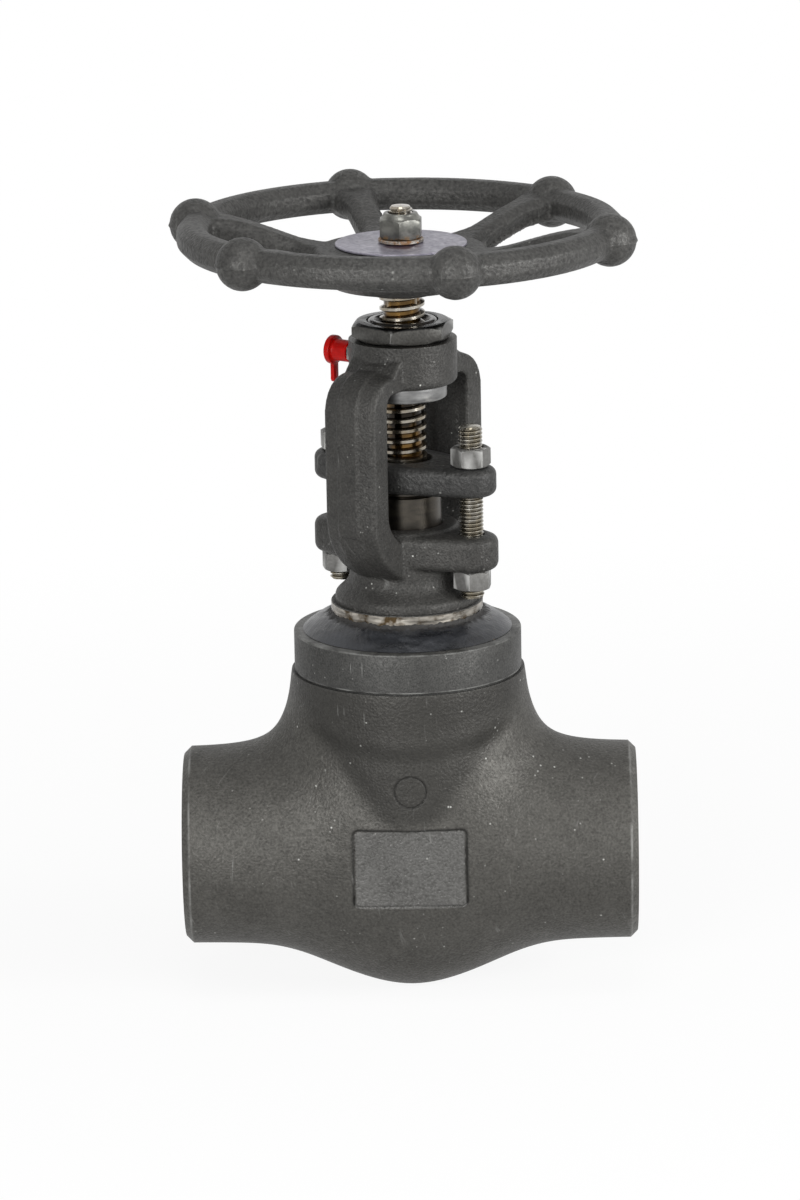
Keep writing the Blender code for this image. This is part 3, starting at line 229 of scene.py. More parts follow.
# Marking pad and round die mark
# Both are pressed into the front by the dies. The pad is left bare: a flat with soft edges, sunk at its top
# and standing slightly proud of the belly at its foot. The skin is cut finer there before it is pressed.
pad_half = Vector((0.0183, 0.0131))
pad_centre = 0.0012
pad_corner = 0.0016
pad_face = 0.0350
pad_tilt = math.tan(math.radians(2.2))
pad_groove = 0.00045
mark_place = Vector((0.0004, 0.028))
mark_radius = 0.0052
mark_groove = 0.0004


def pad_distance(p):
    """Distance outside the pad's rounded outline, negative on the pad."""
    over = Vector((abs(p.x) - pad_half.x + pad_corner, abs(p.z - pad_centre) - pad_half.y + pad_corner))
    return Vector((max(over.x, 0), max(over.y, 0))).length + min(max(over), 0) - pad_corner


def mark_distance(p):
    return (Vector((p.x, p.z)) - mark_place).length - mark_radius


def press_pad(p):
    far = pad_distance(p)
    if p.y > 0 or far > 0.0020:
        return None
    plane = -pad_face - (p.z - pad_centre) * pad_tilt
    sunk = 1 - smooth_step(-0.0002, 0.0003, far)
    return Vector((0, (plane - p.y) * sunk + pad_groove * math.exp(-((far - 0.0002) / 0.0004) ** 2), 0))


def press_mark(p):
    far = mark_distance(p)
    if p.y > 0 or far > 0.0015:
        return None
    sunk = 0.0002 * (1 - smooth_step(-0.0004, 0.0002, far))
    return Vector((0, sunk + mark_groove * math.exp(-(far / 0.0003) ** 2), 0))


web_foot = Vector((0.0085, 0.0160))
web_top = Vector((0.0290, 0.0440))
web_line = (web_top - web_foot).normalized()
neck_step = 0.0400


def web_distance(p):
    """Distance outside the slanted lines that bound the web under the neck, negative on the web."""
    out = Vector((abs(p.x), p.z)) - web_foot
    return out.x * web_line.y - out.y * web_line.x


def press_web(p):
    """A fillet either side of the web, the shoulder beyond it, and the soft step at the neck's foot."""
    if abs(p.y) < 0.010 or not 0.010 < p.z < 0.056:
        return None
    far = web_distance(p)
    held = smooth_step(0.0100, 0.0190, p.z) * (1 - smooth_step(0.0400, 0.0500, p.z))
    held *= smooth_step(0.010, 0.020, abs(p.y))
    sunk = 0.0010 * math.exp(-(far / 0.0042) ** 2) - 0.0003 * math.exp(-((far - 0.0095) / 0.0052) ** 2)
    level = p.z - neck_step - 5.0 * p.x ** 2
    inside = 1 - smooth_step(-0.0020, 0.0060, far)
    step = 0.00055 * math.exp(-((level + 0.0020) / 0.0030) ** 2) - 0.00035 * math.exp(-((level - 0.0035) / 0.0030) ** 2)
    return Vector((0, math.copysign(1, p.y) * -(sunk * held + step * inside), 0))


press(body, press_web)
edit(body)
pick(body, "FACE", lambda p: p.y < 0 and pad_distance(p) < 0.0026)
bpy.ops.mesh.subdivide(number_cuts=5)
pick(body, "FACE", lambda p: p.y < 0 and -0.0035 < mark_distance(p) < 0.0025)
bpy.ops.mesh.subdivide(number_cuts=5)
bpy.ops.object.mode_set(mode="OBJECT")
press(body, press_pad)
press(body, press_mark)

# Machining of the body
# The pipe ends are faced and chamfered, the collar is turned, and the sockets, the two slanted passages, the
# seat throat and the disc chamber are bored.
end_chamfer = 0.0023
collar_radius = 0.0375
socket_radius = 0.01695
socket_depth = 0.013
port_radius = 0.0085


def along_pipe(obj, side=1):
    """Lay a piece that was turned about Z along the pipe, its top towards +X or -X."""
    edit(obj)
    bpy.ops.mesh.select_all(action="SELECT")
    bpy.ops.transform.rotate(value=math.pi / 2, orient_axis="Y", center_override=(0, 0, 0))
    bpy.ops.object.mode_set(mode="OBJECT")
    top = max(obj.data.vertices, key=lambda v: abs(v.co.x)).co.x
    if top * side < 0:
        press(obj, lambda p: Vector((-2 * p.x, 0, 0)))
        edit(obj)
        bpy.ops.mesh.select_all(action="SELECT")
        bpy.ops.mesh.normals_make_consistent(inside=False)
        bpy.ops.object.mode_set(mode="OBJECT")
    return obj


face_radius = hub_radius - end_chamfer
facing = turn("facing_tool", [(0, -half_length), (face_radius, -half_length), (half_length + face_radius, 0),
                              (face_radius, half_length), (0, half_length)], 128)
cut(body, along_pipe(facing), "INTERSECT")
edit(body)
bpy.ops.mesh.select_all(action="SELECT")
bpy.ops.mesh.bisect(plane_co=(0, 0, collar_bottom), plane_no=(0, 0, 1), clear_outer=True, use_fill=True)
bpy.ops.object.mode_set(mode="OBJECT")
collar = turn("collar_blank", [(0, collar_bottom - 0.010), (collar_radius - 0.0018, collar_bottom - 0.010),
                               (collar_radius - 0.0003, collar_bottom - 0.0016),
                               (collar_radius - 0.0003, collar_bottom + 0.0003),
                               (collar_radius, collar_bottom + 0.0006),
                               *arc((collar_radius - 0.0005, collar_top - 0.0005), 0.0005, 0, 90, 3),
                               (0, collar_top)], 160)
cut(body, collar, "UNION")
throat = 0.0095
recess = 0.0133
chamber = turn("chamber_tool", [(0, -0.016), (throat - 0.0038, -0.016), (throat, -0.0122), (throat, 0), (recess, 0),
                                (recess, 0.005), (0.020, 0.005), (0.020, 0.047), (0.0245, 0.047),
                                (0.0245, 0.09), (0, 0.09)], 90)
cut(body, chamber)
socket_floor = half_length - socket_depth
for side, inner in ((-1, Vector((-0.0038, 0, -0.01175))), (1, Vector((0.013, 0, 0.0144)))):
    mouth = turn("socket_tool", [(0, socket_floor), (socket_radius, socket_floor),
                                 (socket_radius, half_length - 0.0012), (socket_radius + 0.0112, half_length + 0.010),
                                 (0, half_length + 0.010)], 94)
    cut(body, along_pipe(mouth, side))
    outer = Vector((side * socket_floor, 0, 0))
    outer -= (inner - outer).normalized() * port_radius / 2
    cut(body, bar("passage_tool", port_radius, outer, inner, 62))
shade(body, 40)

# Painted light and tone for the front are kept in one attribute: painted shade in the pressed lines round the pad and
# the die mark, the burnished pad with a painted highlight on its proud foot, and a darker neck front.
shade_and_tone_marks = body.data.attributes.new("shade_and_tone_marks", "FLOAT_COLOR", "POINT")
for vert, cell in zip(body.data.vertices, shade_and_tone_marks.data):
    spot = vert.co
    pad_far = pad_distance(spot)
    # Painted shade in the grooves round the pad and the die mark, weaker along the pad's foot.
    at_foot = smooth_step(pad_centre - 0.0100, pad_centre - 0.0125, spot.z) if abs(spot.x) < pad_half.x else 0.0
    ring_groove_shade = math.exp(-(mark_distance(spot) / 0.0004) ** 2)
    groove_shade = max(math.exp(-((pad_far - 0.0004) / 0.00055) ** 2) * (1 - 0.8 * at_foot), 0.8 * ring_groove_shade)
    # The burnished pad, and a painted highlight on the proud lip at its foot.
    burnish_and_lip_highlight = 1 - smooth_step(-0.0006, 0.0, pad_far)
    burnish_and_lip_highlight = max(burnish_and_lip_highlight, at_foot * (1 - smooth_step(0.0004, 0.0012, abs(pad_far))))
    # The neck front above the pad is made darker.
    darkened = smooth_step(0.013, 0.020, spot.z) * (1 - smooth_step(-0.0045, 0.0050, web_distance(spot)))
    on_front = 1.0 if spot.y < 0 else 0.0
    cell.color = (groove_shade * on_front, burnish_and_lip_highlight * on_front, darkened, 1)
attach(body, "valve")
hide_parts("valve_body")


# Steel skins
# Every forging carries the same dark oxide skin, which is finely grained, blotched, scuffed to light flecks and
# turns pale on its edges from wear, with a painted highlight laid along them as well. What is turned shows the tool's
# fine rings instead, with light and dark streaks round the turn that are partly painted reflection. All share the
# groups below.
def new_group(name, inputs, outputs):
    tree = bpy.data.node_groups.new(name, "ShaderNodeTree")
    for label, value in inputs.items():
        kind = "NodeSocketVector" if value is None else "NodeSocketFloat"
        socket = tree.interface.new_socket(label, in_out="INPUT", socket_type=kind)
        if value is not None:
            socket.default_value = value
    for label in outputs:
        tree.interface.new_socket(label, in_out="OUTPUT", socket_type="NodeSocketFloat")
    return tree, tree.nodes.new("NodeGroupInput").outputs, tree.nodes.new("NodeGroupOutput").inputs


def wire(tree, kind, inputs=None, **settings):
    """Add a node, set it, and feed its inputs with values or with other nodes' outputs."""
    node = tree.nodes.new("ShaderNode" + kind)
    for key, value in settings.items():
        setattr(node, key, value)
    for key, value in (inputs or {}).items():
        if isinstance(value, bpy.types.NodeSocket):
            tree.links.new(value, node.inputs[key])
        else:
            node.inputs[key].default_value = value
    return node


def cloud(tree, place, scale, detail=3.0, rough=0.55):
    return wire(tree, "TexNoise", {"Vector": place, "Scale": scale, "Detail": detail, "Roughness": rough}).outputs["Fac"]


def reach(tree, value, low, high, start=0.0, end=1.0):
    """Map a value from low..high to start..end, held at both ends."""
    return wire(tree, "MapRange", {"Value": value, "From Min": low, "From Max": high, "To Min": start,
                                   "To Max": end}).outputs["Result"]


def sums(tree, operation, a, b):
    return wire(tree, "Math", {0: a, 1: b}, operation=operation).outputs[0]


def tint(tree, share, under, over):
    """Lay one colour over another by a share from 0 to 1."""
    node = wire(tree, "Mix", {0: share}, data_type="RGBA")
    for index, colour in ((6, under), (7, over)):
        if isinstance(colour, bpy.types.NodeSocket):
            tree.links.new(colour, node.inputs[index])
        else:
            node.inputs[index].default_value = (*colour, 1)
    return node.outputs[2]


def place_of(tree):
    return tree.nodes.new("ShaderNodeTexCoord").outputs["Object"]


def grouped(tree, group, inputs):
    """Place a node group in a material and feed its inputs."""
    return wire(tree, "Group", inputs, node_tree=group).outputs


def new_finish(name):
    finish = bpy.data.materials.new(name)
    finish.use_nodes = True
    return finish, finish.node_tree, finish.node_tree.nodes["Principled BSDF"].inputs


def feed(tree, socket, value):
    if isinstance(value, bpy.types.NodeSocket):
        tree.links.new(value, socket)
    else:
        socket.default_value = value


forge_skin, given, out = new_group("forge skin", {"Place": None, "Fineness": 1.0, "Flecks": 1.0},
                                   ("Tone", "Height", "Fleck"))
place = wire(forge_skin, "VectorMath", {0: given["Place"], "Scale": given["Fineness"]}, operation="SCALE").outputs[0]
blotch = cloud(forge_skin, place, 65, 4, 0.6)
mottle = cloud(forge_skin, place, 420, 3)
grain = cloud(forge_skin, place, 1250, 2, 0.5)
tone = sums(forge_skin, "MULTIPLY", reach(forge_skin, blotch, 0.25, 0.75), 0.26)
tone = sums(forge_skin, "ADD", tone, sums(forge_skin, "MULTIPLY", reach(forge_skin, mottle, 0.2, 0.8), 0.22))
tone = sums(forge_skin, "ADD", tone, sums(forge_skin, "MULTIPLY", reach(forge_skin, grain, 0.25, 0.75), 0.52))
feed(forge_skin, out["Tone"], reach(forge_skin, tone, 0.15, 0.85))
pits = wire(forge_skin, "TexVoronoi", {"Vector": place, "Scale": 520.0}).outputs["Distance"]
pits = reach(forge_skin, pits, 0.0, 0.4)
height = sums(forge_skin, "ADD", sums(forge_skin, "MULTIPLY", mottle, 0.8), sums(forge_skin, "MULTIPLY", grain, 1.5))
feed(forge_skin, out["Height"], sums(forge_skin, "ADD", height, sums(forge_skin, "MULTIPLY", pits, 0.4)))
spot = wire(forge_skin, "TexVoronoi", {"Vector": place, "Scale": 360.0}).outputs["Distance"]
spot = reach(forge_skin, spot, 0.05, 0.16, 1.0, 0.0)
rare = reach(forge_skin, cloud(forge_skin, place, 150, 2), 0.54, 0.64)
feed(forge_skin, out["Fleck"], sums(forge_skin, "MULTIPLY", sums(forge_skin, "MULTIPLY", spot, rare), given["Flecks"]))

scuffs, given, out = new_group("scuffs", {"Place": None, "Lean": 0.0}, ("Scuff",))
turned_place = wire(scuffs, "VectorRotate", {"Vector": given["Place"], "Angle": given["Lean"]},
                    rotation_type="AXIS_ANGLE").outputs[0]
lines = wire(scuffs, "VectorMath", {0: turned_place, 1: (900, 90, 60)}, operation="MULTIPLY").outputs[0]
hairs = reach(scuffs, cloud(scuffs, lines, 1.0, 2, 0.5), 0.66, 0.74)
where = reach(scuffs, cloud(scuffs, given["Place"], 70, 2), 0.5, 0.66)
feed(scuffs, out["Scuff"], sums(scuffs, "MULTIPLY", hairs, where))

# The second output is tone that varies round the turn and along it, partly streaks of painted reflection.
lathe_rings, given, out = new_group("lathe rings", {"Place": None, "Pitch": 9000.0}, ("Ring", "Smear_and_reflection"))
split = wire(lathe_rings, "SeparateXYZ", {0: given["Place"]}).outputs
flat = wire(lathe_rings, "CombineXYZ", {0: split[0], 1: split[1]}).outputs[0]
radius = wire(lathe_rings, "VectorMath", {0: flat}, operation="LENGTH").outputs["Value"]
heading = wire(lathe_rings, "VectorMath", {0: flat}, operation="NORMALIZE").outputs[0]
heading = wire(lathe_rings, "SeparateXYZ", {0: heading}).outputs
depth = sums(lathe_rings, "ADD", radius, split[2])
slow = wire(lathe_rings, "CombineXYZ", {0: heading[0], 1: heading[1], 2: sums(lathe_rings, "MULTIPLY", depth,
                                                                            given["Pitch"])}).outputs[0]
feed(lathe_rings, out["Ring"], cloud(lathe_rings, slow, 1.0, 2, 0.5))
wide = wire(lathe_rings, "CombineXYZ", {0: heading[0], 1: heading[1], 2: sums(lathe_rings, "MULTIPLY", depth, 260)})
feed(lathe_rings, out["Smear_and_reflection"], cloud(lathe_rings, wide.outputs[0], 2.2, 4, 0.6))


def rim_wear_and_highlight(tree, here, lines, patchy=140):
    """Share of bare metal and painted highlight along turned edges, each given as an axis, its place on it and a half
    width.
    """
    split = wire(tree, "SeparateXYZ", {0: here}).outputs
    share = None
    for axis, level, width in lines:
        away = sums(tree, "ABSOLUTE", sums(tree, "SUBTRACT", sums(tree, "ABSOLUTE", split[axis], 0.0), level), 0.0)
        line = reach(tree, away, width * 0.4, width, 1.0, 0.0)
        share = line if share is None else sums(tree, "MAXIMUM", share, line)
    return sums(tree, "MULTIPLY", share, reach(tree, cloud(tree, here, patchy, 3), 0.36, 0.66))


def forged_finish(name, dark, light, metallic=0.35, relief=0.5, fineness=1.0, flecks=1.0, lean=0.6, edges=0.5,
                  scuffed=0.35, rims=(), marks=None, rough=(0.60, 0.44), shine=0.3):
    """Dark oxide skin of a forging. Marks names an attribute with painted groove shade, the burnished pad with its
    painted foot highlight, and a darker neck front in its three channels.
    """
    finish, tree, shader = new_finish(name)
    here = place_of(tree)
    skin = grouped(tree, forge_skin, {"Place": here, "Fineness": fineness, "Flecks": flecks})
    scuff = grouped(tree, scuffs, {"Place": here, "Lean": lean})["Scuff"]
    colour = tint(tree, skin["Tone"], dark, light)
    gloss = reach(tree, skin["Tone"], 0.0, 1.0, *rough)
    if marks:
        # Painted shade in the grooves, the burnished pad with a painted highlight at its foot, and a darker neck front.
        groove_shade, burnish_and_lip_highlight, darkened = wire(tree, "SeparateColor", {0: wire(tree, "Attribute", attribute_name=marks).outputs[
            "Color"]}).outputs
        colour = tint(tree, sums(tree, "MULTIPLY", darkened, 0.60), colour, [shade_of * 0.5 for shade_of in dark])
        pale = tint(tree, skin["Tone"], (0.050, 0.049, 0.046), (0.134, 0.132, 0.127))
        colour = tint(tree, sums(tree, "MULTIPLY", burnish_and_lip_highlight, 0.85), colour, pale)
        colour = tint(tree, sums(tree, "MULTIPLY", groove_shade, 0.85), colour, [shade_of * 0.35 for shade_of in dark])
        gloss = sums(tree, "SUBTRACT", gloss, sums(tree, "MULTIPLY", burnish_and_lip_highlight, 0.08))
    colour = tint(tree, sums(tree, "MULTIPLY", scuff, scuffed), colour, (0.24, 0.24, 0.23))
    colour = tint(tree, skin["Fleck"], colour, (0.34, 0.34, 0.32))
    # Edges, where the surface bends outward, are lighter: wear, and a painted highlight.
    if edges:
        bend = tree.nodes.new("ShaderNodeNewGeometry").outputs["Pointiness"]
        worn_and_lit_edge = reach(tree, bend, 0.52, 0.62, 0.0, edges)
        colour = tint(tree, sums(tree, "MULTIPLY", worn_and_lit_edge, skin["Tone"]), colour, (0.17, 0.165, 0.155))
    # Turned rims are lighter: wear, and a painted highlight.
    if rims:
        colour = tint(tree, sums(tree, "MULTIPLY", rim_wear_and_highlight(tree, here, rims), 0.55), colour, (0.24, 0.24, 0.23))
    feed(tree, shader["Base Color"], colour)
    feed(tree, shader["Roughness"], gloss)
    shader["Metallic"].default_value = metallic
    shader["Specular IOR Level"].default_value = shine
    bump = wire(tree, "Bump", {"Height": skin["Height"], "Strength": relief, "Distance": 0.00022})
    feed(tree, shader["Normal"], bump.outputs[0])
    return finish


def turned_finish(name, dark, light, rough=(0.25, 0.42), metallic=1.0, relief=0.25, pitch=9000.0, oil=None):
    """Steel off the lathe, with fine rings, light and dark streaks round the turn that are partly painted reflection,
    and, if asked for, an oil film that pools in a second colour.
    """
    finish, tree, shader = new_finish(name)
    here = place_of(tree)
    rings = grouped(tree, lathe_rings, {"Place": here, "Pitch": pitch})
    colour = tint(tree, reach(tree, rings["Smear_and_reflection"], 0.3, 0.7), dark, light)
    if oil:
        film = reach(tree, cloud(tree, here, 210, 3), 0.47, 0.62)
        colour = tint(tree, film, colour, oil)
    feed(tree, shader["Base Color"], colour)
    feed(tree, shader["Roughness"], reach(tree, rings["Smear_and_reflection"], 0.3, 0.7, rough[0], rough[1]))
    shader["Metallic"].default_value = metallic
    bump = wire(tree, "Bump", {"Height": rings["Ring"], "Strength": relief, "Distance": 0.00008})
    feed(tree, shader["Normal"], bump.outputs[0])
    return finish


def dress(obj, *finishes):
    """Give a piece its finishes in place of what it had."""
    obj.data.materials.clear()
    for finish in finishes:
        obj.data.materials.append(finish)


def dress_where(obj, slot_index, test):
    for face in obj.data.polygons:
        if test(face.center, face.normal):
            face.material_index = slot_index


hub_edge = half_length - end_chamfer
body_skin = forged_finish("body oxide skin", (0.0300, 0.0288, 0.0258), (0.0800, 0.0772, 0.0700), metallic=0.45, relief=0.8, edges=0.4,
                          rims=((0, hub_edge, 0.0005),), marks="shade_and_tone_marks")
collar_skin = forged_finish("turned collar skin", (0.020, 0.020, 0.0190), (0.058, 0.0578, 0.0550), relief=0.22,
                            fineness=1.3, metallic=0.55, edges=0.6, scuffed=0.8,
                            rims=((2, collar_bottom + 0.0007, 0.0004), (2, collar_top - 0.0002, 0.0005)))
bored = turned_finish("bored steel", (0.05, 0.048, 0.045), (0.13, 0.125, 0.115), (0.35, 0.5))
dress(body, body_skin, collar_skin, bored)
dress_where(body, 1, lambda c, n: c.z > collar_bottom - 0.0001)
dress_where(body, 2, lambda c, n: abs(c.x) > half_length - 0.0003 or
            (c.y ** 2 + c.z ** 2) ** 0.5 < socket_radius + 0.001 and abs(c.x) > 0.02)


# Seat ring, disc and disc nut
# The seat ring and the disc are hard faced and ground, and the disc nut holds the disc on the stem's head. They
# are inside the body, keep their CAD shape and get ground and turned finishes.
ground = turned_finish("ground hard facing", (0.42, 0.42, 0.41), (0.55, 0.55, 0.54), (0.14, 0.25), pitch=16000)
inner_steel = turned_finish("turned inner steel", (0.26, 0.25, 0.24), (0.38, 0.37, 0.35))
for node, coat in (("seat_ring", ground), ("disc", ground), ("disc_nut", inner_steel),
                   ("backseat_bushing", inner_steel)):
    dress(nodes[node], coat)


# Bonnet, stuffing box, gland ears, yoke legs and hub
# One forging as well. A turned spindle, the two-ear plate, two bent legs and the hub are joined and their
# corners run together, as they do in the die. The weld ring, the box and the holes are machined afterwards.
stud_turn = math.radians(-33.2)
stud_line = Vector((math.cos(stud_turn), math.sin(stud_turn), 0))
leg_line = Vector((-math.sin(stud_turn), math.cos(stud_turn), 0))
stud_offset = 0.02585
bonnet_neck = 0.0187
ring_radius = 0.0250
ring_top = 0.0840
ear_bottom = 0.0972
ear_top = 0.1087
box_top = 0.1097
hub_bottom = 0.1570
hub_top = 0.1715
yoke_hub = 0.0177
leg_inner = 0.0234
leg_thick = 0.0098
leg_width = 0.0195


def soften(obj, blanks, grain_size, passes):
    """Join the shapes that a forging is made up of, run them together and ease the corners."""
    let_go()
    for blank in blanks:
        blank.select_set(True)
    obj.select_set(True)
    bpy.context.view_layer.objects.active = obj
    bpy.ops.object.join()
    apply_step(obj, "REMESH", mode="VOXEL", voxel_size=grain_size)
    apply_step(obj, "SMOOTH", factor=0.5, iterations=passes)


def ear_plan(half_width, radius, count=10):
    """Outline of a two-hole flange along X: a broad middle, drawn in to two round ends."""
    lean = math.asin((half_width - radius) / stud_offset)
    plan = []
    for side in (1, -1):
        for k in range(2 * count + 1):
            angle = -math.pi / 2 + lean + k * (math.pi - 2 * lean) / (2 * count)
            plan.append((side * (stud_offset + radius * math.cos(angle)), side * radius * math.sin(angle)))
        for k in range(1, count):
            angle = math.pi / 2 - lean + k * 2 * lean / count
            plan.append((side * half_width * math.cos(angle), side * half_width * math.sin(angle)))
    return plan


def plate(name, plan, low, high, edge, edge_steps=4):
    """Extrude a plan into a plate, ease its two rims and turn it onto the stud line."""
    let_go()
    bpy.ops.mesh.primitive_circle_add(vertices=len(plan), radius=0.01, fill_type="NGON")
    obj = name_new(name)
    for vert, spot in zip(obj.data.vertices, plan):
        vert.co = (*spot, low)
    edit(obj)
    bpy.ops.mesh.select_all(action="SELECT")
    bpy.ops.mesh.extrude_region_move(TRANSFORM_OT_translate={"value": (0, 0, high - low)})
    bpy.ops.mesh.select_all(action="SELECT")
    bpy.ops.mesh.normals_make_consistent(inside=False)
    bpy.ops.mesh.select_mode(type="EDGE")
    bpy.ops.mesh.select_all(action="DESELECT")
    bm = bmesh.from_edit_mesh(obj.data)
    for rim in bm.edges:
        rim.select_set(abs(rim.verts[0].co.z - rim.verts[1].co.z) < 1e-7)
    bmesh.update_edit_mesh(obj.data)
    bpy.ops.mesh.bevel(offset=edge, segments=edge_steps, profile=0.5, affect="EDGES")
    bpy.ops.object.mode_set(mode="OBJECT")
    obj.data.transform(Matrix.Rotation(stud_turn, 4, "Z"))
    return obj


def leg_ring(along, height, lean, thickness):
    """Section of a leg: grooved inside, flat crown outside with a drafted flank on each hand."""
    half = leg_width / 2
    inner = -thickness / 2
    outer = thickness / 2
    flank_fall = 0.0010
    edge = 0.0011
    right = [(0.0035, inner + 0.0006), (0.0050, inner), (half - edge, inner), (half - edge * 0.3, inner + edge * 0.3),
             (half, inner + edge), (half, outer - flank_fall - edge),
             (half - edge * 0.3, outer - flank_fall - edge * 0.3), (half - edge, outer - flank_fall + 0.0001),
             (0.0037, outer)]
    section = right + [(-a, b) for a, b in reversed(right)]
    out_line = leg_line * math.cos(lean) + Vector((0, 0, math.sin(lean)))
    centre = leg_line * along + Vector((0, 0, height))
    return [centre + stud_line * a + out_line * b for a, b in section]


def yoke_leg(side):
    """A leg drawn section by section from the hub, over its shoulder and down into the neck."""
    middle_line = leg_inner + leg_thick / 2
    arm = 0.0068
    bend = 0.013 - leg_thick / 2
    corner = middle_line - bend
    root_depth = arm + 0.0058
    top = hub_bottom + arm / 2
    upright = math.pi / 2
    rings = [leg_ring(0.010, hub_bottom + root_depth / 2, upright, root_depth),
             leg_ring(0.0158, hub_bottom + root_depth / 2 - 0.0006, upright, root_depth - 0.0012)]
    bends = 12
    for k in range(bends + 1):
        lean = upright * (1 - k / bends)
        depth_now = arm + (leg_thick - arm) * k / bends
        rings.append(leg_ring(corner + bend * math.cos(lean), top - bend + bend * math.sin(lean), lean, depth_now))
    foot = ear_top + 0.008
    for k in range(1, 8):
        height = top - bend + (foot - top + bend) * k / 7
        rings.append(leg_ring(middle_line, height, 0, leg_thick))
    foot_lean = math.radians(62)
    sweep = (middle_line - bonnet_neck + 0.0070) / (1 - math.cos(foot_lean))
    for k in range(1, bends):
        share = k / (bends - 1)
        lean = foot_lean * share
        rings.append(leg_ring(middle_line - sweep * (1 - math.cos(lean)), foot - sweep * 0.66 * math.sin(lean), -lean,
                              leg_thick + 0.003 * share))
    let_go()
    count = len(rings[0])
    bpy.ops.mesh.primitive_circle_add(vertices=count, radius=0.01, fill_type="NGON")
    leg = name_new("leg_blank")
    for vert, spot in zip(leg.data.vertices, rings[0]):
        vert.co = spot
    edit(leg)
    for ring in rings[1:]:
        bpy.ops.mesh.select_mode(type="FACE")
        bpy.ops.mesh.extrude_region_move(TRANSFORM_OT_translate={"value": (0, 0, 0.0)})
        bm = bmesh.from_edit_mesh(leg.data)
        cap = next(f for f in bm.faces if f.select)
        fresh = sorted(cap.verts, key=lambda v: v.index)
        for vert, spot in zip(fresh, ring):
            vert.co = spot
        bmesh.update_edit_mesh(leg.data)
    bpy.ops.mesh.select_all(action="SELECT")
    bpy.ops.mesh.normals_make_consistent(inside=False)
    bpy.ops.object.mode_set(mode="OBJECT")
    if side < 0:
        leg.data.transform(Matrix.Rotation(math.pi, 4, "Z"))
    return leg


spigot = 0.0242
spigot_bottom = 0.0500
yoke = turn("forged_bonnet_yoke", [(0, ring_top - 0.004), (bonnet_neck + 0.0049, ring_top - 0.004),
                                   (bonnet_neck + 0.0049, ring_top + 0.0004),
                                   *arc((bonnet_neck + 0.0034, ring_top + 0.0019), 0.0015, 0, 45, 2),
                                   *arc((bonnet_neck + 0.0062, ring_top + 0.0098), 0.0062, 232, 180, 6),
                                   (bonnet_neck, box_top - 0.0022), (bonnet_neck - 0.0022, box_top), (0, box_top)])
ears = plate("ear_blank", ear_plan(bonnet_neck - 0.0003, 0.0087), ear_bottom, ear_top, 0.0026)
hub = turn("hub_blank", [(0.0105, hub_bottom), (yoke_hub - 0.0012, hub_bottom), (yoke_hub, hub_bottom + 0.0012),
                         (yoke_hub, hub_top + 0.003), (0.0105, hub_top + 0.003)])
soften(yoke, [ears, hub, yoke_leg(1), yoke_leg(-1)], 0.00055, 3)
edit(yoke)
bpy.ops.mesh.select_all(action="SELECT")
bpy.ops.mesh.bisect(plane_co=(0, 0, hub_top), plane_no=(0, 0, 1), clear_outer=True, use_fill=True)
bpy.ops.object.mode_set(mode="OBJECT")
weld_ring = turn("weld_ring", [(0, spigot_bottom), (spigot - 0.0005, spigot_bottom), (spigot, spigot_bottom + 0.0005),
                               (spigot, 0.0745), (ring_radius, 0.0745), (ring_radius, ring_top - 0.0003),
                               (ring_radius - 0.0003, ring_top), (0, ring_top)], 144)
cut(yoke, weld_ring, "UNION")
box = turn("box_tool", [(0, 0.04), (0.0123, 0.04), (0.0123, 0.0581), (0.0078, 0.0581), (0.0078, 0.0713),
                        (0.0121, 0.0713), (0.0121, box_top - 0.0003), (0.0127, box_top + 0.0003),
                        (0.0127, box_top + 0.01), (0, box_top + 0.01)], 94)
cut(yoke, box)
cut(yoke, bar("hub_bore_tool", 0.0118, (0, 0, 0.150), (0, 0, 0.178), 94))
for side in (1, -1):
    spot = stud_line * stud_offset * side
    cut(yoke, bar("stud_tool", 0.0043, spot + Vector((0, 0, 0.090)), spot + Vector((0, 0, 0.115)), 46))
nipple_level = Vector((0, 0, hub_bottom + 0.0077))
cut(yoke, bar("nipple_tool", 0.0029, nipple_level - stud_line * 0.0129, nipple_level - stud_line * 0.03, 40))
crown_half = 0.0034
crown_rise = 0.00045
outward_skin = [vert.normal.copy() for vert in yoke.data.vertices]
for vert, normal in zip(yoke.data.vertices, outward_skin):
    along = vert.co.dot(leg_line)
    outward = (leg_line * math.copysign(1, along) + Vector((0, 0, 1))).normalized()
    on_crown = 1 - smooth_step(crown_half, crown_half + 0.0009, abs(vert.co.dot(stud_line)))
    on_leg = smooth_step(0.0175, 0.0190, abs(along)) * smooth_step(ear_bottom - 0.002, ear_bottom + 0.004, vert.co.z)
    if normal.dot(outward) > 0.5:
        vert.co += normal * crown_rise * on_crown * on_leg
yoke.data.update()
shade(yoke, 40)
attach(yoke, "valve")
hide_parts("bonnet_yoke")

yoke_skin = forged_finish("yoke oxide skin", (0.0135, 0.0131, 0.0121), (0.050, 0.0485, 0.0450), relief=0.75,
                          fineness=1.1, lean=1.3, edges=0.8)
ring_band = turned_finish("turned weld ring", (0.010, 0.008, 0.006), (0.46, 0.43, 0.38), (0.20, 0.42),
                          oil=(0.055, 0.038, 0.020))
dress(yoke, yoke_skin, ring_band, bored)
dress_where(yoke, 1, lambda c, n: c.z < ring_top - 0.0002)
dress_where(yoke, 2, lambda c, n: Vector((c.x, c.y)).length < 0.0122)


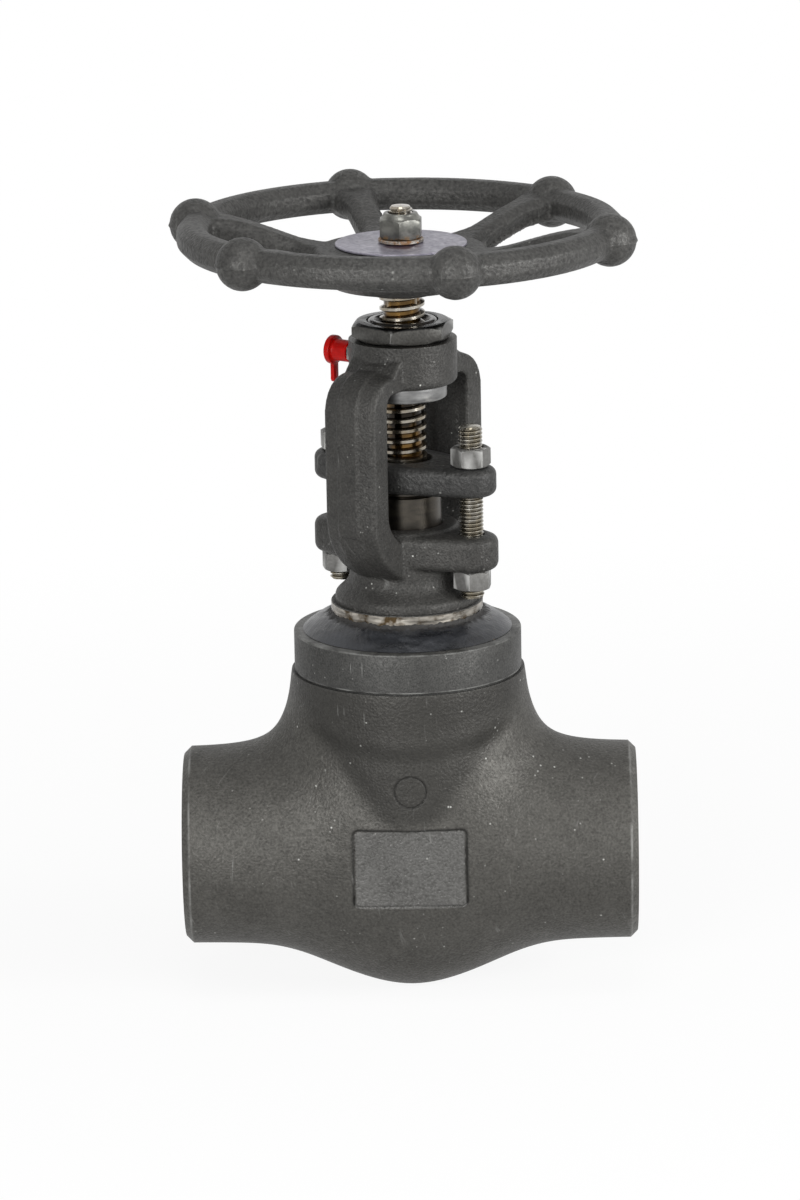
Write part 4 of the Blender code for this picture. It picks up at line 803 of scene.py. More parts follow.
# Seal weld
# A fillet bead, laid round the bonnet once it is screwed down, so that nothing leaks past the thread. It is a
# smooth cone with faint ripples under black glassy scale, ragged where the scale stops on the bare ring.
weld_foot = 0.0345
weld_rise = 0.0056
bead = [(ring_radius + 0.0002, collar_top + 0.0002), (weld_foot, collar_top + 0.0002)]
slope_steps = 14
for k in range(1, slope_steps + 1):
    share = k / slope_steps
    bulge = 0.0003 * math.sin(math.pi * share)
    bead.append((weld_foot + (ring_radius + 0.0003 - weld_foot) * share + bulge, collar_top + 0.0002 + weld_rise * share + bulge))
bead.append((ring_radius + 0.0001, collar_top + weld_rise + 0.0012))
weld = turn("weld_bead", bead, 288)


def ripple(p):
    """Ripples left by the welder's weave, and the ragged upper edge of the scale."""
    flat_place = Vector((p.x, p.y, 0))
    radius_here = flat_place.length
    if radius_here < ring_radius + 0.00015 and p.z < collar_top + 0.001:
        return None
    out_dir = flat_place.normalized()
    share = (p.z - collar_top) / weld_rise
    wave = noise.noise(Vector((p.x * 260, p.y * 260, p.z * 900))) * 0.00022
    weave = 0.00007 * math.sin(math.atan2(p.y, p.x) * 92 + 18 * share)
    ragged = noise.noise(Vector((p.x * 700, p.y * 700, 3.0))) * 0.0009 * smooth_step(0.8, 1.1, share)
    return out_dir * (wave + weave) * min(1.0, 4 * share) + Vector((0, 0, 1)) * (ragged + wave * 0.5 * share)


press(weld, ripple)
shade(weld, 60)
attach(weld, "valve")
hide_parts("seal_weld")

weld_scale, tree, shader = new_finish("glassy weld scale")
here = place_of(tree)
smear = grouped(tree, lathe_rings, {"Place": here, "Pitch": 2600.0})
skin = grouped(tree, forge_skin, {"Place": here, "Fineness": 1.2, "Flecks": 1.0})
colour = tint(tree, reach(tree, smear["Smear_and_reflection"], 0.35, 0.75), (0.006, 0.0065, 0.008), (0.030, 0.032, 0.037))
rust_spots = wire(tree, "TexVoronoi", {"Vector": here, "Scale": 170.0}).outputs["Distance"]
rust_spots = reach(tree, rust_spots, 0.03, 0.10, 1.0, 0.0)
rust_spots = sums(tree, "MULTIPLY", rust_spots, reach(tree, cloud(tree, here, 60, 2), 0.54, 0.62))
colour = tint(tree, rust_spots, colour, (0.42, 0.22, 0.05))
colour = tint(tree, sums(tree, "MULTIPLY", skin["Fleck"], 0.6), colour, (0.18, 0.18, 0.17))
height_here = wire(tree, "SeparateXYZ", {0: here}).outputs[2]
crust = sums(tree, "ADD", height_here, sums(tree, "MULTIPLY", cloud(tree, here, 420, 4), 0.0022))
crust = reach(tree, crust, collar_top + weld_rise + 0.0004, collar_top + weld_rise + 0.0012)
colour = tint(tree, crust, colour, (0.012, 0.011, 0.010))
feed(tree, shader["Base Color"], colour)
feed(tree, shader["Roughness"], sums(tree, "ADD", reach(tree, smear["Smear_and_reflection"], 0.3, 0.7, 0.2, 0.42),
                                     sums(tree, "MULTIPLY", crust, 0.4)))
shader["Metallic"].default_value = 0.2
bump = wire(tree, "Bump", {"Height": sums(tree, "ADD", sums(tree, "MULTIPLY", smear["Ring"], 0.5), skin["Height"]),
                           "Strength": 0.25, "Distance": 0.0002})
feed(tree, shader["Normal"], bump.outputs[0])
dress(weld, weld_scale)


# Packing set
# Braided graphite rings at both ends keep the soft moulded rings from creeping out. They sit unseen in the box.
braid, tree, shader = new_finish("braided graphite")
here = place_of(tree)
strands = wire(tree, "TexVoronoi", {"Vector": here, "Scale": 900.0}).outputs["Distance"]
feed(tree, shader["Base Color"], tint(tree, strands, (0.012, 0.012, 0.013), (0.07, 0.07, 0.075)))
feed(tree, shader["Normal"], wire(tree, "Bump", {"Height": strands, "Strength": 0.6, "Distance": 0.0003}).outputs[0])
shader["Roughness"].default_value = 0.7
moulded = turned_finish("moulded graphite", (0.05, 0.05, 0.055), (0.10, 0.10, 0.11), (0.35, 0.5), 0.4)
for k in range(1, 6):
    dress(nodes["packing_ring_%d" % k], braid if k in (1, 5) else moulded)


# Gland bushing
# Turned steel that pushes on the packing, burnished dark, with one V groove under the flange.
bushing_radius = 0.0118
gland_top = 0.1237
groove = 0.1204
gland = turn("turned_gland", [(0.0078, 0.0971), (bushing_radius, 0.0971), (bushing_radius, groove - 0.0006),
                              (bushing_radius - 0.0006, groove), (bushing_radius, groove + 0.0006),
                              (bushing_radius, gland_top), (0.0078, gland_top)])
shade(gland, 30)
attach(gland, "valve")
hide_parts("gland_bushing")
dress(gland, turned_finish("burnished gland steel", (0.052, 0.048, 0.042), (0.080, 0.071, 0.059), (0.30, 0.38)))


# Gland flange
# A small forging with two round ends, bored for the stem and drilled for the studs.
flange_bottom = 0.1220
flange_top = 0.1314
flange = plate("forged_flange", ear_plan(0.0155, 0.0083, 14), flange_bottom, flange_top, 0.0026, 6)
cut(flange, bar("flange_seat_tool", 0.0121, (0, 0, 0.11), (0, 0, flange_bottom + 0.002), 94))
cut(flange, bar("flange_bore_tool", 0.0092, (0, 0, 0.11), (0, 0, 0.14), 90))
for side in (1, -1):
    spot = stud_line * stud_offset * side
    cut(flange, bar("stud_tool", 0.0043, spot + Vector((0, 0, 0.110)), spot + Vector((0, 0, 0.140)), 46))
shade(flange, 40)
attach(flange, "valve")
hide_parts("gland_flange")
dress(flange, forged_finish("flange oxide skin", (0.0115, 0.0115, 0.0111), (0.042, 0.0415, 0.0400), relief=0.9,
                            fineness=0.8, lean=2.0, edges=0.6))


# Gland studs and nuts
# Threaded studs pull the flange down on the gland, each with a hexagon nut above and one under its ear.
stud_radius = 0.0039
stud_pitch = 0.00128


def thread(name, radius, depth, pitch, low, high, crest=0.22, steps=40):
    """A helical thread: one pitch of its profile, screwed upwards and cut off square at both ends."""
    rows = int((high - low) / pitch) + 3
    base = low - 1.5 * pitch
    profile = [(radius - depth, base), (radius - depth, base + pitch * 0.16), (radius, base + pitch * (0.5 - crest / 2)),
               (radius, base + pitch * (0.5 + crest / 2)), (radius - depth, base + pitch * 0.84),
               (radius - depth, base + pitch)]
    let_go()
    bpy.ops.mesh.primitive_plane_add(size=0.001)
    obj = name_new(name)
    edit(obj)
    bpy.ops.mesh.select_all(action="SELECT")
    bpy.ops.mesh.merge(type="CENTER")
    bpy.ops.transform.translate(value=(profile[0][0], 0, profile[0][1]))
    for here_point, ahead in zip(profile, profile[1:]):
        step = (ahead[0] - here_point[0], 0, ahead[1] - here_point[1])
        bpy.ops.mesh.extrude_region_move(TRANSFORM_OT_translate={"value": step})
    bpy.ops.object.mode_set(mode="OBJECT")
    apply_step(obj, "SCREW", angle=math.tau, screw_offset=pitch, iterations=rows, steps=steps, render_steps=steps,
               axis="Z", use_merge_vertices=True, merge_threshold=1e-6)
    edit(obj)
    for level, up in ((low, -1), (high, 1)):
        bpy.ops.mesh.select_all(action="SELECT")
        bpy.ops.mesh.remove_doubles(threshold=1e-6)
        bpy.ops.mesh.bisect(plane_co=(0, 0, level), plane_no=(0, 0, up), clear_outer=True, use_fill=True)
    bpy.ops.mesh.select_all(action="SELECT")
    bpy.ops.mesh.normals_make_consistent(inside=False)
    bpy.ops.object.mode_set(mode="OBJECT")
    return obj


def move_to(obj, spot):
    obj.data.transform(Matrix.Translation(spot))
    return obj


def hex_nut(name, across, height, bore, turn_angle, collar=None):
    """A hexagon bar, its corners turned down to a cone at both ends, bored through."""
    corner = across / math.sqrt(3)
    drop = (corner - across / 2 + 0.0002) * math.tan(math.radians(30))
    let_go()
    rise = collar[1] if collar else 0.0
    bpy.ops.mesh.primitive_cylinder_add(vertices=6, radius=corner, depth=height + rise,
                                        location=(0, 0, (height + rise) / 2))
    nut = name_new(name)
    nut.data.transform(Matrix.Rotation(math.radians(7), 4, "Z"))
    face = across / 2 - 0.0002
    outline = [(0, 0), (face, 0), (corner, drop), (corner + 0.001, drop + 0.0006), (corner + 0.001, height - drop - 0.0006),
               (corner, height - drop)]
    if collar:
        outline += [*arc((face - 0.0004, height - 0.0012), 0.0016, 40, 78, 3), (collar[0] + 0.0002, height + 0.0011),
                    (collar[0], height + 0.0014), *arc((collar[0] - 0.0006, height + rise - 0.0006), 0.0006, 0, 90, 3),
                    (0, height + rise)]
    else:
        outline += [(face, height), (0, height)]
    cut(nut, turn("nut_chamfer_tool", outline, 90), "INTERSECT")
    cut(nut, bar("nut_bore_tool", bore, (0, 0, -0.01), (0, 0, height + rise + 0.01), 44))
    apply_step(nut, "BEVEL", width=0.00016, segments=2, limit_method="ANGLE", angle_limit=math.radians(28))
    nut.data.transform(Matrix.Rotation(turn_angle - math.radians(7 + 90), 4, "Z"))
    return nut


plain_steel, tree, shader = new_finish("plain nut steel")
here = place_of(tree)
skin = grouped(tree, forge_skin, {"Place": here, "Fineness": 1.6, "Flecks": 0.5})
dulled = cloud(tree, here, 700, 3)
colour = tint(tree, reach(tree, dulled, 0.25, 0.75), (0.084, 0.082, 0.077), (0.140, 0.138, 0.132))
colour = tint(tree, sums(tree, "MULTIPLY", skin["Tone"], 0.35), colour, (0.062, 0.060, 0.056))
# Edges, where the surface bends outward, are painted light: wear, and a painted highlight.
edge = reach(tree, tree.nodes.new("ShaderNodeNewGeometry").outputs["Pointiness"], 0.53, 0.64, 0.0, 0.6)
feed(tree, shader["Base Color"], tint(tree, edge, colour, (0.50, 0.50, 0.485)))
feed(tree, shader["Roughness"], reach(tree, dulled, 0.3, 0.7, 0.62, 0.52))
shader["Metallic"].default_value = 0.45
feed(tree, shader["Normal"], wire(tree, "Bump", {"Height": skin["Height"], "Strength": 0.2,
                                                 "Distance": 0.00015}).outputs[0])

stud_steel, tree, shader = new_finish("oiled stud steel")
here = place_of(tree)
# An oil film tints the steel, and the thread valleys, where the surface bends inward, are painted dark as shade.
film = reach(tree, cloud(tree, here, 320, 3), 0.42, 0.66)
bend = tree.nodes.new("ShaderNodeNewGeometry").outputs["Pointiness"]
crests = reach(tree, bend, 0.44, 0.56)
colour = tint(tree, film, (0.30, 0.27, 0.21), (0.42, 0.41, 0.38))
feed(tree, shader["Base Color"], tint(tree, crests, (0.035, 0.028, 0.018), colour))
feed(tree, shader["Roughness"], reach(tree, film, 0, 1, 0.22, 0.34))
shader["Metallic"].default_value = 0.95

stud_foot = 0.0875
stud_head = 0.1449
nut_turns = {"upper_right": 5.0, "lower_right": 22.0, "upper_left": 40.0, "lower_left": 45.7}
for word, side in (("right", 1), ("left", -1)):
    spot = stud_line * stud_offset * side
    stud = thread("threaded_stud_" + word, stud_radius, 0.00062, stud_pitch, stud_foot, stud_head, 0.2)
    tip = turn("stud_tip_tool", [(0, stud_foot - 0.001), (stud_radius - 0.0011, stud_foot - 0.001),
                                 (stud_radius - 0.0006, stud_foot), (stud_radius + 0.0003, stud_foot + 0.001),
                                 (stud_radius + 0.0003, stud_head - 0.001), (stud_radius - 0.0006, stud_head),
                                 (stud_radius - 0.0011, stud_head + 0.001), (0, stud_head + 0.001)], 48)
    cut(stud, tip, "INTERSECT")
    move_to(stud, spot)
    shade(stud, 50)
    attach(stud, "valve")
    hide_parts("gland_stud_" + word)
    dress(stud, stud_steel)
    for level, low in (("upper", flange_top + 0.0003), ("lower", ear_bottom - 0.0066)):
        key = level + "_" + word
        nut = hex_nut("stud_nut_" + key, 0.0114, 0.0063, 0.0042, math.radians(nut_turns[key]))
        move_to(nut, spot + Vector((0, 0, low)))
        shade(nut, 30)
        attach(nut, "valve")
        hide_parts("gland_nut_" + key)
        dress(nut, plain_steel)


# Yoke bushing
# The fixed nut that the stem climbs in: a turned flange under the hub, a body through it, and a rim that stands
# out of the locknut, wet with black thread oil.
bush_flange = 0.0142
bush_low = 0.1521
bush_rim = 0.0115
bush_top = 0.1780
bushing = turn("turned_yoke_bushing",
               [(0.0078, bush_low), (bush_flange - 0.0009, bush_low), *arc((bush_flange - 0.0006, bush_low + 0.0006),
                                                                          0.0006, -90, 0, 3),
                (bush_flange, hub_bottom - 0.0003), (bush_rim, hub_bottom - 0.0003), (bush_rim, bush_top - 0.0016),
                *arc((bush_rim - 0.0012, bush_top - 0.0012), 0.0012, 0, 90, 4), (bush_rim - 0.0022, bush_top),
                (0.0086, bush_top - 0.0008), (0.0078, bush_top - 0.0018)])
shade(bushing, 35)
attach(bushing, "valve")
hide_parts("yoke_bushing")
satin = turned_finish("satin bushing iron", (0.13, 0.13, 0.13), (0.27, 0.27, 0.265), (0.30, 0.44))
wet = turned_finish("black thread oil", (0.006, 0.006, 0.006), (0.035, 0.032, 0.029), (0.08, 0.2), 0.3, 0.5,
                    oil=(0.050, 0.042, 0.032))
dress(bushing, satin, wet)
dress_where(bushing, 1, lambda c, n: c.z > hub_bottom)


# Bushing locknut
# A thin hexagon nut that clamps the bushing in the hub, dark and pitted, its edges painted bright as a highlight.
locknut = hex_nut("hexagon_locknut", 0.030, 0.0058, 0.0118, math.radians(17.5))
move_to(locknut, Vector((0, 0, hub_top + 0.0003)))
shade(locknut, 30)
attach(locknut, "valve")
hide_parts("yoke_bushing_nut")
pitted, tree, shader = new_finish("pitted locknut steel")
here = place_of(tree)
skin = grouped(tree, forge_skin, {"Place": here, "Fineness": 1.0, "Flecks": 0.3})
pit = wire(tree, "TexVoronoi", {"Vector": here, "Scale": 430.0}).outputs["Distance"]
pit = sums(tree, "MULTIPLY", reach(tree, pit, 0.06, 0.16, 1, 0), reach(tree, cloud(tree, here, 150, 2), 0.5, 0.6))
colour = tint(tree, skin["Tone"], (0.022, 0.021, 0.0188), (0.064, 0.062, 0.0565))
colour = tint(tree, pit, colour, (0.006, 0.006, 0.006))
oil_film = reach(tree, wire(tree, "SeparateXYZ", {0: here}).outputs[2], hub_top + 0.0051, hub_top + 0.0056)
# Painted highlight along the edges.
edge = reach(tree, tree.nodes.new("ShaderNodeNewGeometry").outputs["Pointiness"], 0.53, 0.62, 0.0, 0.7)
colour = tint(tree, edge, colour, (0.30, 0.30, 0.29))
feed(tree, shader["Base Color"], tint(tree, oil_film, colour, (0.004, 0.004, 0.004)))
feed(tree, shader["Roughness"], reach(tree, oil_film, 0, 1, 0.42, 0.24))
feed(tree, shader["Specular IOR Level"], reach(tree, oil_film, 0, 1, 0.5, 0.2))
shader["Metallic"].default_value = 0.6
feed(tree, shader["Normal"], wire(tree, "Bump", {"Height": skin["Height"], "Strength": 0.22,
                                                 "Distance": 0.0002}).outputs[0])
dress(locknut, pitted)


# Grease nipple and its cap
# The nipple keeps its CAD shape under a red cap of soft plastic, moulded with a broad end and a pull tab.
dress(nodes["grease_nipple"], plain_steel)
cap_axis = -stud_line
cap_low = 0.0026
cap_end = 0.0108
cap_body = 0.0036
cap_disc = 0.0048
cap = turn("moulded_cap", [(0, 0.0074), (0.0030, 0.0074), (0.0030, cap_low), (cap_body - 0.0003, cap_low),
                           (cap_body, cap_low + 0.0003), (cap_body, 0.0078),
                           *arc((cap_body + 0.0008, 0.0078), 0.0008, 180, 90, 3),
                           *arc((cap_disc - 0.0004, 0.0090), 0.0004, -70, 0, 3),
                           *arc((cap_disc - 0.0004, cap_end - 0.0005), 0.0004, 0, 80, 3),
                           (cap_disc - 0.0011, cap_end), (cap_disc - 0.0016, cap_end - 0.0003), (0, cap_end - 0.0003)],
           72)
let_go()
bpy.ops.mesh.primitive_cube_add(size=1, location=(-0.0072, 0, 0.0095))
tab = name_new("tab_blank")
press(tab, lambda p: Vector((p.x * 0, 0, 0)))
tab.data.transform(Matrix.Translation((-0.0072, 0, 0.0095)) @ Matrix.Diagonal((0.0072, 0.0027, 0.0013, 1)) @
                   Matrix.Translation((0.0072, 0, -0.0095)))
edit(tab)
bpy.ops.mesh.select_mode(type="EDGE")
bpy.ops.mesh.select_all(action="DESELECT")
bm = bmesh.from_edit_mesh(tab.data)
for rim in bm.edges:
    ends = [v.co for v in rim.verts]
    rim.select_set(abs(ends[0].z - ends[1].z) > 0.001 and max(e.x for e in ends) < -0.0072)
bmesh.update_edit_mesh(tab.data)
bpy.ops.mesh.bevel(offset=0.00125, segments=8, affect="EDGES")
bpy.ops.object.mode_set(mode="OBJECT")
cut(cap, tab, "UNION")
apply_step(cap, "BEVEL", width=0.0002, segments=2, limit_method="ANGLE", angle_limit=math.radians(50))
to_hub = Matrix.Translation(nipple_level - stud_line * yoke_hub)
cap.data.transform(to_hub @ Matrix.Rotation(stud_turn, 4, "Z") @ Matrix.Rotation(-math.pi / 2, 4, "Y"))
shade(cap, 40)
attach(cap, "nipple_cap")
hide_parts("nipple_cap")
red, tree, shader = new_finish("soft red plastic")
here = place_of(tree)
shadow_tone = cloud(tree, here, 240, 3)
feed(tree, shader["Base Color"], tint(tree, reach(tree, shadow_tone, 0.3, 0.7), (0.29, 0.0020, 0.0012), (0.40, 0.0040, 0.0022)))
feed(tree, shader["Roughness"], reach(tree, shadow_tone, 0.3, 0.7, 0.28, 0.4))
feed(tree, shader["Normal"], wire(tree, "Bump", {"Height": cloud(tree, here, 1500, 2), "Strength": 0.08,
                                                 "Distance": 0.0001}).outputs[0])
shader["Specular IOR Level"].default_value = 0.14
shader["Subsurface Weight"].default_value = 0.1
shader["Subsurface Radius"].default_value = (0.0012, 0.0004, 0.0003)
dress(cap, red)


# Stem
# Turned from stainless bar: head and backseat collar inside, a polished shank through the packing, a coarse
# thread above it, a square for the wheel and a bolt thread at the tip. Brown oil and painted shade sit between the
# turns.
stem_radius = 0.0074
stem_pitch = 0.0034
thread_low = 0.1322
wheel_seat = 0.1865
wheel_top = 0.2023
tip_top = wheel_top + 0.0131
low_end = 0.0135
stem = turn("turned_stem", [(0, low_end), (0.0070, low_end), (0.0070, low_end + 0.004), (0.0052, low_end + 0.004),
                            (0.0052, 0.0283), (0.0100, 0.0313), (0.0100, 0.0363), (stem_radius, 0.0389),
                            (stem_radius, thread_low), (stem_radius - 0.0012, thread_low + 0.0008), (0, thread_low + 0.0008)],
            72)
screw = thread("stem_thread", stem_radius, 0.0014, stem_pitch, thread_low, wheel_seat - 0.0003, 0.27, 72)
cut(stem, screw, "UNION")
let_go()
bpy.ops.mesh.primitive_cube_add(size=1, location=(0, 0, (wheel_seat + wheel_top) / 2))
square = name_new("stem_square")
square.data.transform(Matrix.Diagonal((0.0098, 0.0098, 1, 1)))
square_low = wheel_seat - 0.004
square_high = wheel_top - 0.0015
centre_now = (wheel_seat + wheel_top) / 2
press(square, lambda p: Vector((0, 0, (square_high if p.z > centre_now else square_low) - p.z)))
cut(stem, square, "UNION")
bolt = thread("bolt_thread", 0.0039, 0.0006, 0.00125, wheel_top - 0.0045, tip_top, 0.2)
dome = turn("bolt_end_tool", [(0, wheel_top - 0.005), (0.0045, wheel_top - 0.005), (0.0045, tip_top - 0.0016),
                              (0.0036, tip_top - 0.0010), (0.0030, tip_top - 0.0002), (0, tip_top)], 48)
cut(bolt, dome, "INTERSECT")
cut(stem, bolt, "UNION")
shade(stem, 40)
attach(stem, "stem")
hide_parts("stem")
stem_steel, tree, shader = new_finish("oiled stem steel")
here = place_of(tree)
rings = grouped(tree, lathe_rings, {"Place": here, "Pitch": 7000.0})
split = wire(tree, "SeparateXYZ", {0: here}).outputs
flat = wire(tree, "CombineXYZ", {0: split[0], 1: split[1]}).outputs[0]
radius = wire(tree, "VectorMath", {0: flat}, operation="LENGTH").outputs["Value"]
threaded = sums(tree, "MULTIPLY", reach(tree, split[2], thread_low, thread_low + 0.0004),
                reach(tree, split[2], wheel_seat, wheel_seat + 0.0004, 1.0, 0.0))
# Thread valleys are painted brown and dark: oil, and painted shade.
valley = sums(tree, "MULTIPLY", reach(tree, radius, stem_radius - 0.0011, stem_radius - 0.0002, 1.0, 0.0), threaded)
film = reach(tree, cloud(tree, here, 130, 3), 0.38, 0.62)
colour = tint(tree, reach(tree, rings["Smear_and_reflection"], 0.3, 0.7), (0.20, 0.18, 0.145), (0.44, 0.42, 0.38))
colour = tint(tree, sums(tree, "MULTIPLY", film, 0.6), colour, (0.20, 0.145, 0.072))
brown = tint(tree, reach(tree, cloud(tree, here, 90, 2), 0.4, 0.6), (0.012, 0.008, 0.004), (0.150, 0.082, 0.018))
colour = tint(tree, valley, colour, brown)
feed(tree, shader["Base Color"], colour)
feed(tree, shader["Roughness"], reach(tree, rings["Smear_and_reflection"], 0.3, 0.7, 0.12, 0.27))
shader["Metallic"].default_value = 0.95
shader["Coat Weight"].default_value = 0.3
shader["Coat Roughness"].default_value = 0.1
feed(tree, shader["Normal"], wire(tree, "Bump", {"Height": rings["Ring"], "Strength": 0.2,
                                                 "Distance": 0.00006}).outputs[0])
dress(stem, stem_steel)


# Handwheel
# Forged in one piece: an eight-sided rim with soft corners, six dished spokes, six round knobs on the rim with a
# flash line round them, and a web whose boss sits on the stem's square.
rim_radius = 0.0676
rim_section = 0.0104
rim_level = wheel_seat + 0.0199
knob_turn = math.radians(-15.34)
knob_radius = 0.0086
knob_circle = rim_radius + 0.0023
web_radius = 0.0285
web_top = wheel_seat + 0.0151
corner_radius = rim_section / 2 / math.cos(math.pi / 8)
rim_outline = [(rim_radius + corner_radius * math.cos((k + 0.5) * math.pi / 4),
                rim_level + corner_radius * math.sin((k + 0.5) * math.pi / 4)) for k in range(8)]
wheel = turn("forged_handwheel", rim_outline, 144)
web = turn("web_blank", [(0, wheel_seat), (0.0115, wheel_seat), (0.0130, wheel_seat + 0.0018),
                         (web_radius - 0.006, web_top - 0.0123), (web_radius, web_top - 0.0093),
                         (web_radius, web_top - 0.0015), (web_radius - 0.0015, web_top),
                         (0.0223 + wheel_top - web_top, web_top), (0.0223, wheel_top), (0, wheel_top)])


def bar_ring(angle, distance, height, width, thick, chamfer):
    """Eight-cornered section of a spoke at one distance from the stem."""
    across = Vector((-math.sin(angle), math.cos(angle), 0))
    centre = Vector((math.cos(angle) * distance, math.sin(angle) * distance, height))
    w, h = width / 2, thick / 2
    corners = [(-w, -h + chamfer), (-w + chamfer, -h), (w - chamfer, -h), (w, -h + chamfer),
               (w, h - chamfer), (w - chamfer, h), (-w + chamfer, h), (-w, h - chamfer)]
    return [centre + across * a + Vector((0, 0, b)) for a, b in corners]


spoke_low = web_top - 0.0050
spoke_high = rim_level - 0.0014
spoke_root = web_radius - 0.006
spoke_far = rim_radius - rim_section / 2
wheel_blanks = [web]
knob_places = []
for k in range(6):
    angle = knob_turn + k * math.tau / 6
    let_go()
    bpy.ops.mesh.primitive_circle_add(vertices=8, radius=0.01, fill_type="NGON")
    spoke = name_new("spoke_blank")
    stations = []
    for step in range(15):
        distance = spoke_root - 0.006 + (rim_radius - spoke_root + 0.006) * step / 14
        share = smooth_step(spoke_root, spoke_far, distance)
        wide = 1 + 0.45 * max(smooth_step(web_radius + 0.0054, web_radius, distance),
                              smooth_step(spoke_far - 0.0081, spoke_far, distance))
        stations.append(bar_ring(angle, distance, spoke_low + (spoke_high - spoke_low) * share, 0.0104 * wide, 0.0090,
                                 0.0024))
    for vert, spot in zip(spoke.data.vertices, stations[0]):
        vert.co = spot
    edit(spoke)
    for ring in stations[1:]:
        bpy.ops.mesh.select_mode(type="FACE")
        bpy.ops.mesh.extrude_region_move(TRANSFORM_OT_translate={"value": (0, 0, 0)})
        bm = bmesh.from_edit_mesh(spoke.data)
        cap_face = next(f for f in bm.faces if f.select)
        for vert, spot in zip(sorted(cap_face.verts, key=lambda v: v.index), ring):
            vert.co = spot
        bmesh.update_edit_mesh(spoke.data)
    bpy.ops.mesh.select_all(action="SELECT")
    bpy.ops.mesh.normals_make_consistent(inside=False)
    bpy.ops.object.mode_set(mode="OBJECT")
    knob_places.append(Vector((knob_circle * math.cos(angle), knob_circle * math.sin(angle), rim_level)))
    let_go()
    bpy.ops.mesh.primitive_uv_sphere_add(segments=36, ring_count=19, radius=knob_radius, location=knob_places[-1])
    wheel_blanks += [spoke, name_new("knob_blank")]
soften(wheel, wheel_blanks, 0.00066, 4)


def flash_line(p):
    """The seam round each knob where the two dies met."""
    for knob in knob_places:
        out = p - knob
        if out.length > knob_radius - 0.0009 and abs(out.z) < 0.0012 and out.length < knob_radius + 0.0006:
            return out.normalized() * 0.00045 * math.exp(-(out.z / 0.0005) ** 2)
    return None


press(wheel, flash_line)
let_go()
bpy.ops.mesh.primitive_cube_add(size=1, location=(0, 0, 0))
square_hole = name_new("square_tool")
square_hole.data.transform(Matrix.Translation((0, 0, wheel_seat)) @ Matrix.Diagonal((0.0104, 0.0104, 0.05, 1)))
cut(wheel, square_hole)
shade(wheel, 50)
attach(wheel, "stem")
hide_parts("handwheel")
dress(wheel, forged_finish("handwheel oxide skin", (0.019, 0.0187, 0.0178), (0.070, 0.0686, 0.0648), relief=0.95,
                           fineness=0.75, flecks=0.5, lean=0.2, edges=0.35))


# Plate, washer and nut on the wheel
# A thin bare plate, pale and marbled, is clamped by a rusty washer and a domed lock nut. Its printing is left off.
plate_low = wheel_top + 0.0003
plate_radius = 0.0215
disc_plate = turn("bare_plate", [(0.0043, plate_low), (plate_radius, plate_low), (plate_radius, plate_low + 0.0004),
                                 (plate_radius - 0.0002, plate_low + 0.0006), (0.0043, plate_low + 0.0006)], 160)
shade(disc_plate, 30)
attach(disc_plate, "stem")
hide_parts("id_plate")
pale, tree, shader = new_finish("marbled plate")
here = place_of(tree)
swirl = wire(tree, "TexNoise", {"Vector": here, "Scale": 260.0, "Detail": 4.0, "Roughness": 0.6, "Distortion": 1.6})
colour = tint(tree, reach(tree, swirl.outputs["Fac"], 0.35, 0.65), (0.185, 0.176, 0.222), (0.345, 0.330, 0.385))
front = wire(tree, "VectorMath", {0: here, 1: (0.0, -0.0068, 0.2)}, operation="SUBTRACT").outputs[0]
front = wire(tree, "VectorMath", {0: front, 1: (1.0, 1.0, 0.0)}, operation="MULTIPLY").outputs[0]
near_nut = wire(tree, "VectorMath", {0: front}, operation="LENGTH").outputs["Value"]
near_nut = sums(tree, "ADD", near_nut, sums(tree, "MULTIPLY", cloud(tree, here, 500, 3), 0.003))
grease = reach(tree, near_nut, 0.0062, 0.0072, 1.0, 0.0)
colour = tint(tree, grease, colour, (0.055, 0.035, 0.055))
feed(tree, shader["Base Color"], colour)
feed(tree, shader["Roughness"], reach(tree, swirl.outputs["Fac"], 0.35, 0.65, 0.42, 0.3))
shader["Metallic"].default_value = 0.35
feed(tree, shader["Normal"], wire(tree, "Bump", {"Height": swirl.outputs["Fac"], "Strength": 0.12,
                                                 "Distance": 0.0002}).outputs[0])
dress(disc_plate, pale)

washer_low = plate_low + 0.0009
washer = turn("plain_washer", [(0.0042, washer_low), (0.0072, washer_low), (0.0074, washer_low + 0.0002),
                               (0.0074, washer_low + 0.0009), (0.0072, washer_low + 0.0011),
                               (0.0042, washer_low + 0.0011)], 72)
shade(washer, 30)
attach(washer, "stem")
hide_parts("handwheel_washer")
rusty, tree, shader = new_finish("rusting washer")
here = place_of(tree)
eaten = reach(tree, cloud(tree, here, 620, 4, 0.65), 0.40, 0.60)
colour = tint(tree, eaten, (0.34, 0.33, 0.30), (0.26, 0.115, 0.030))
colour = tint(tree, reach(tree, cloud(tree, here, 900, 2), 0.55, 0.65), colour, (0.07, 0.035, 0.015))
feed(tree, shader["Base Color"], colour)
feed(tree, shader["Roughness"], reach(tree, eaten, 0, 1, 0.4, 0.8))
feed(tree, shader["Metallic"], reach(tree, eaten, 0, 1, 0.8, 0.1))
feed(tree, shader["Normal"], wire(tree, "Bump", {"Height": eaten, "Strength": 0.5, "Distance": 0.0002}).outputs[0])
dress(washer, rusty)

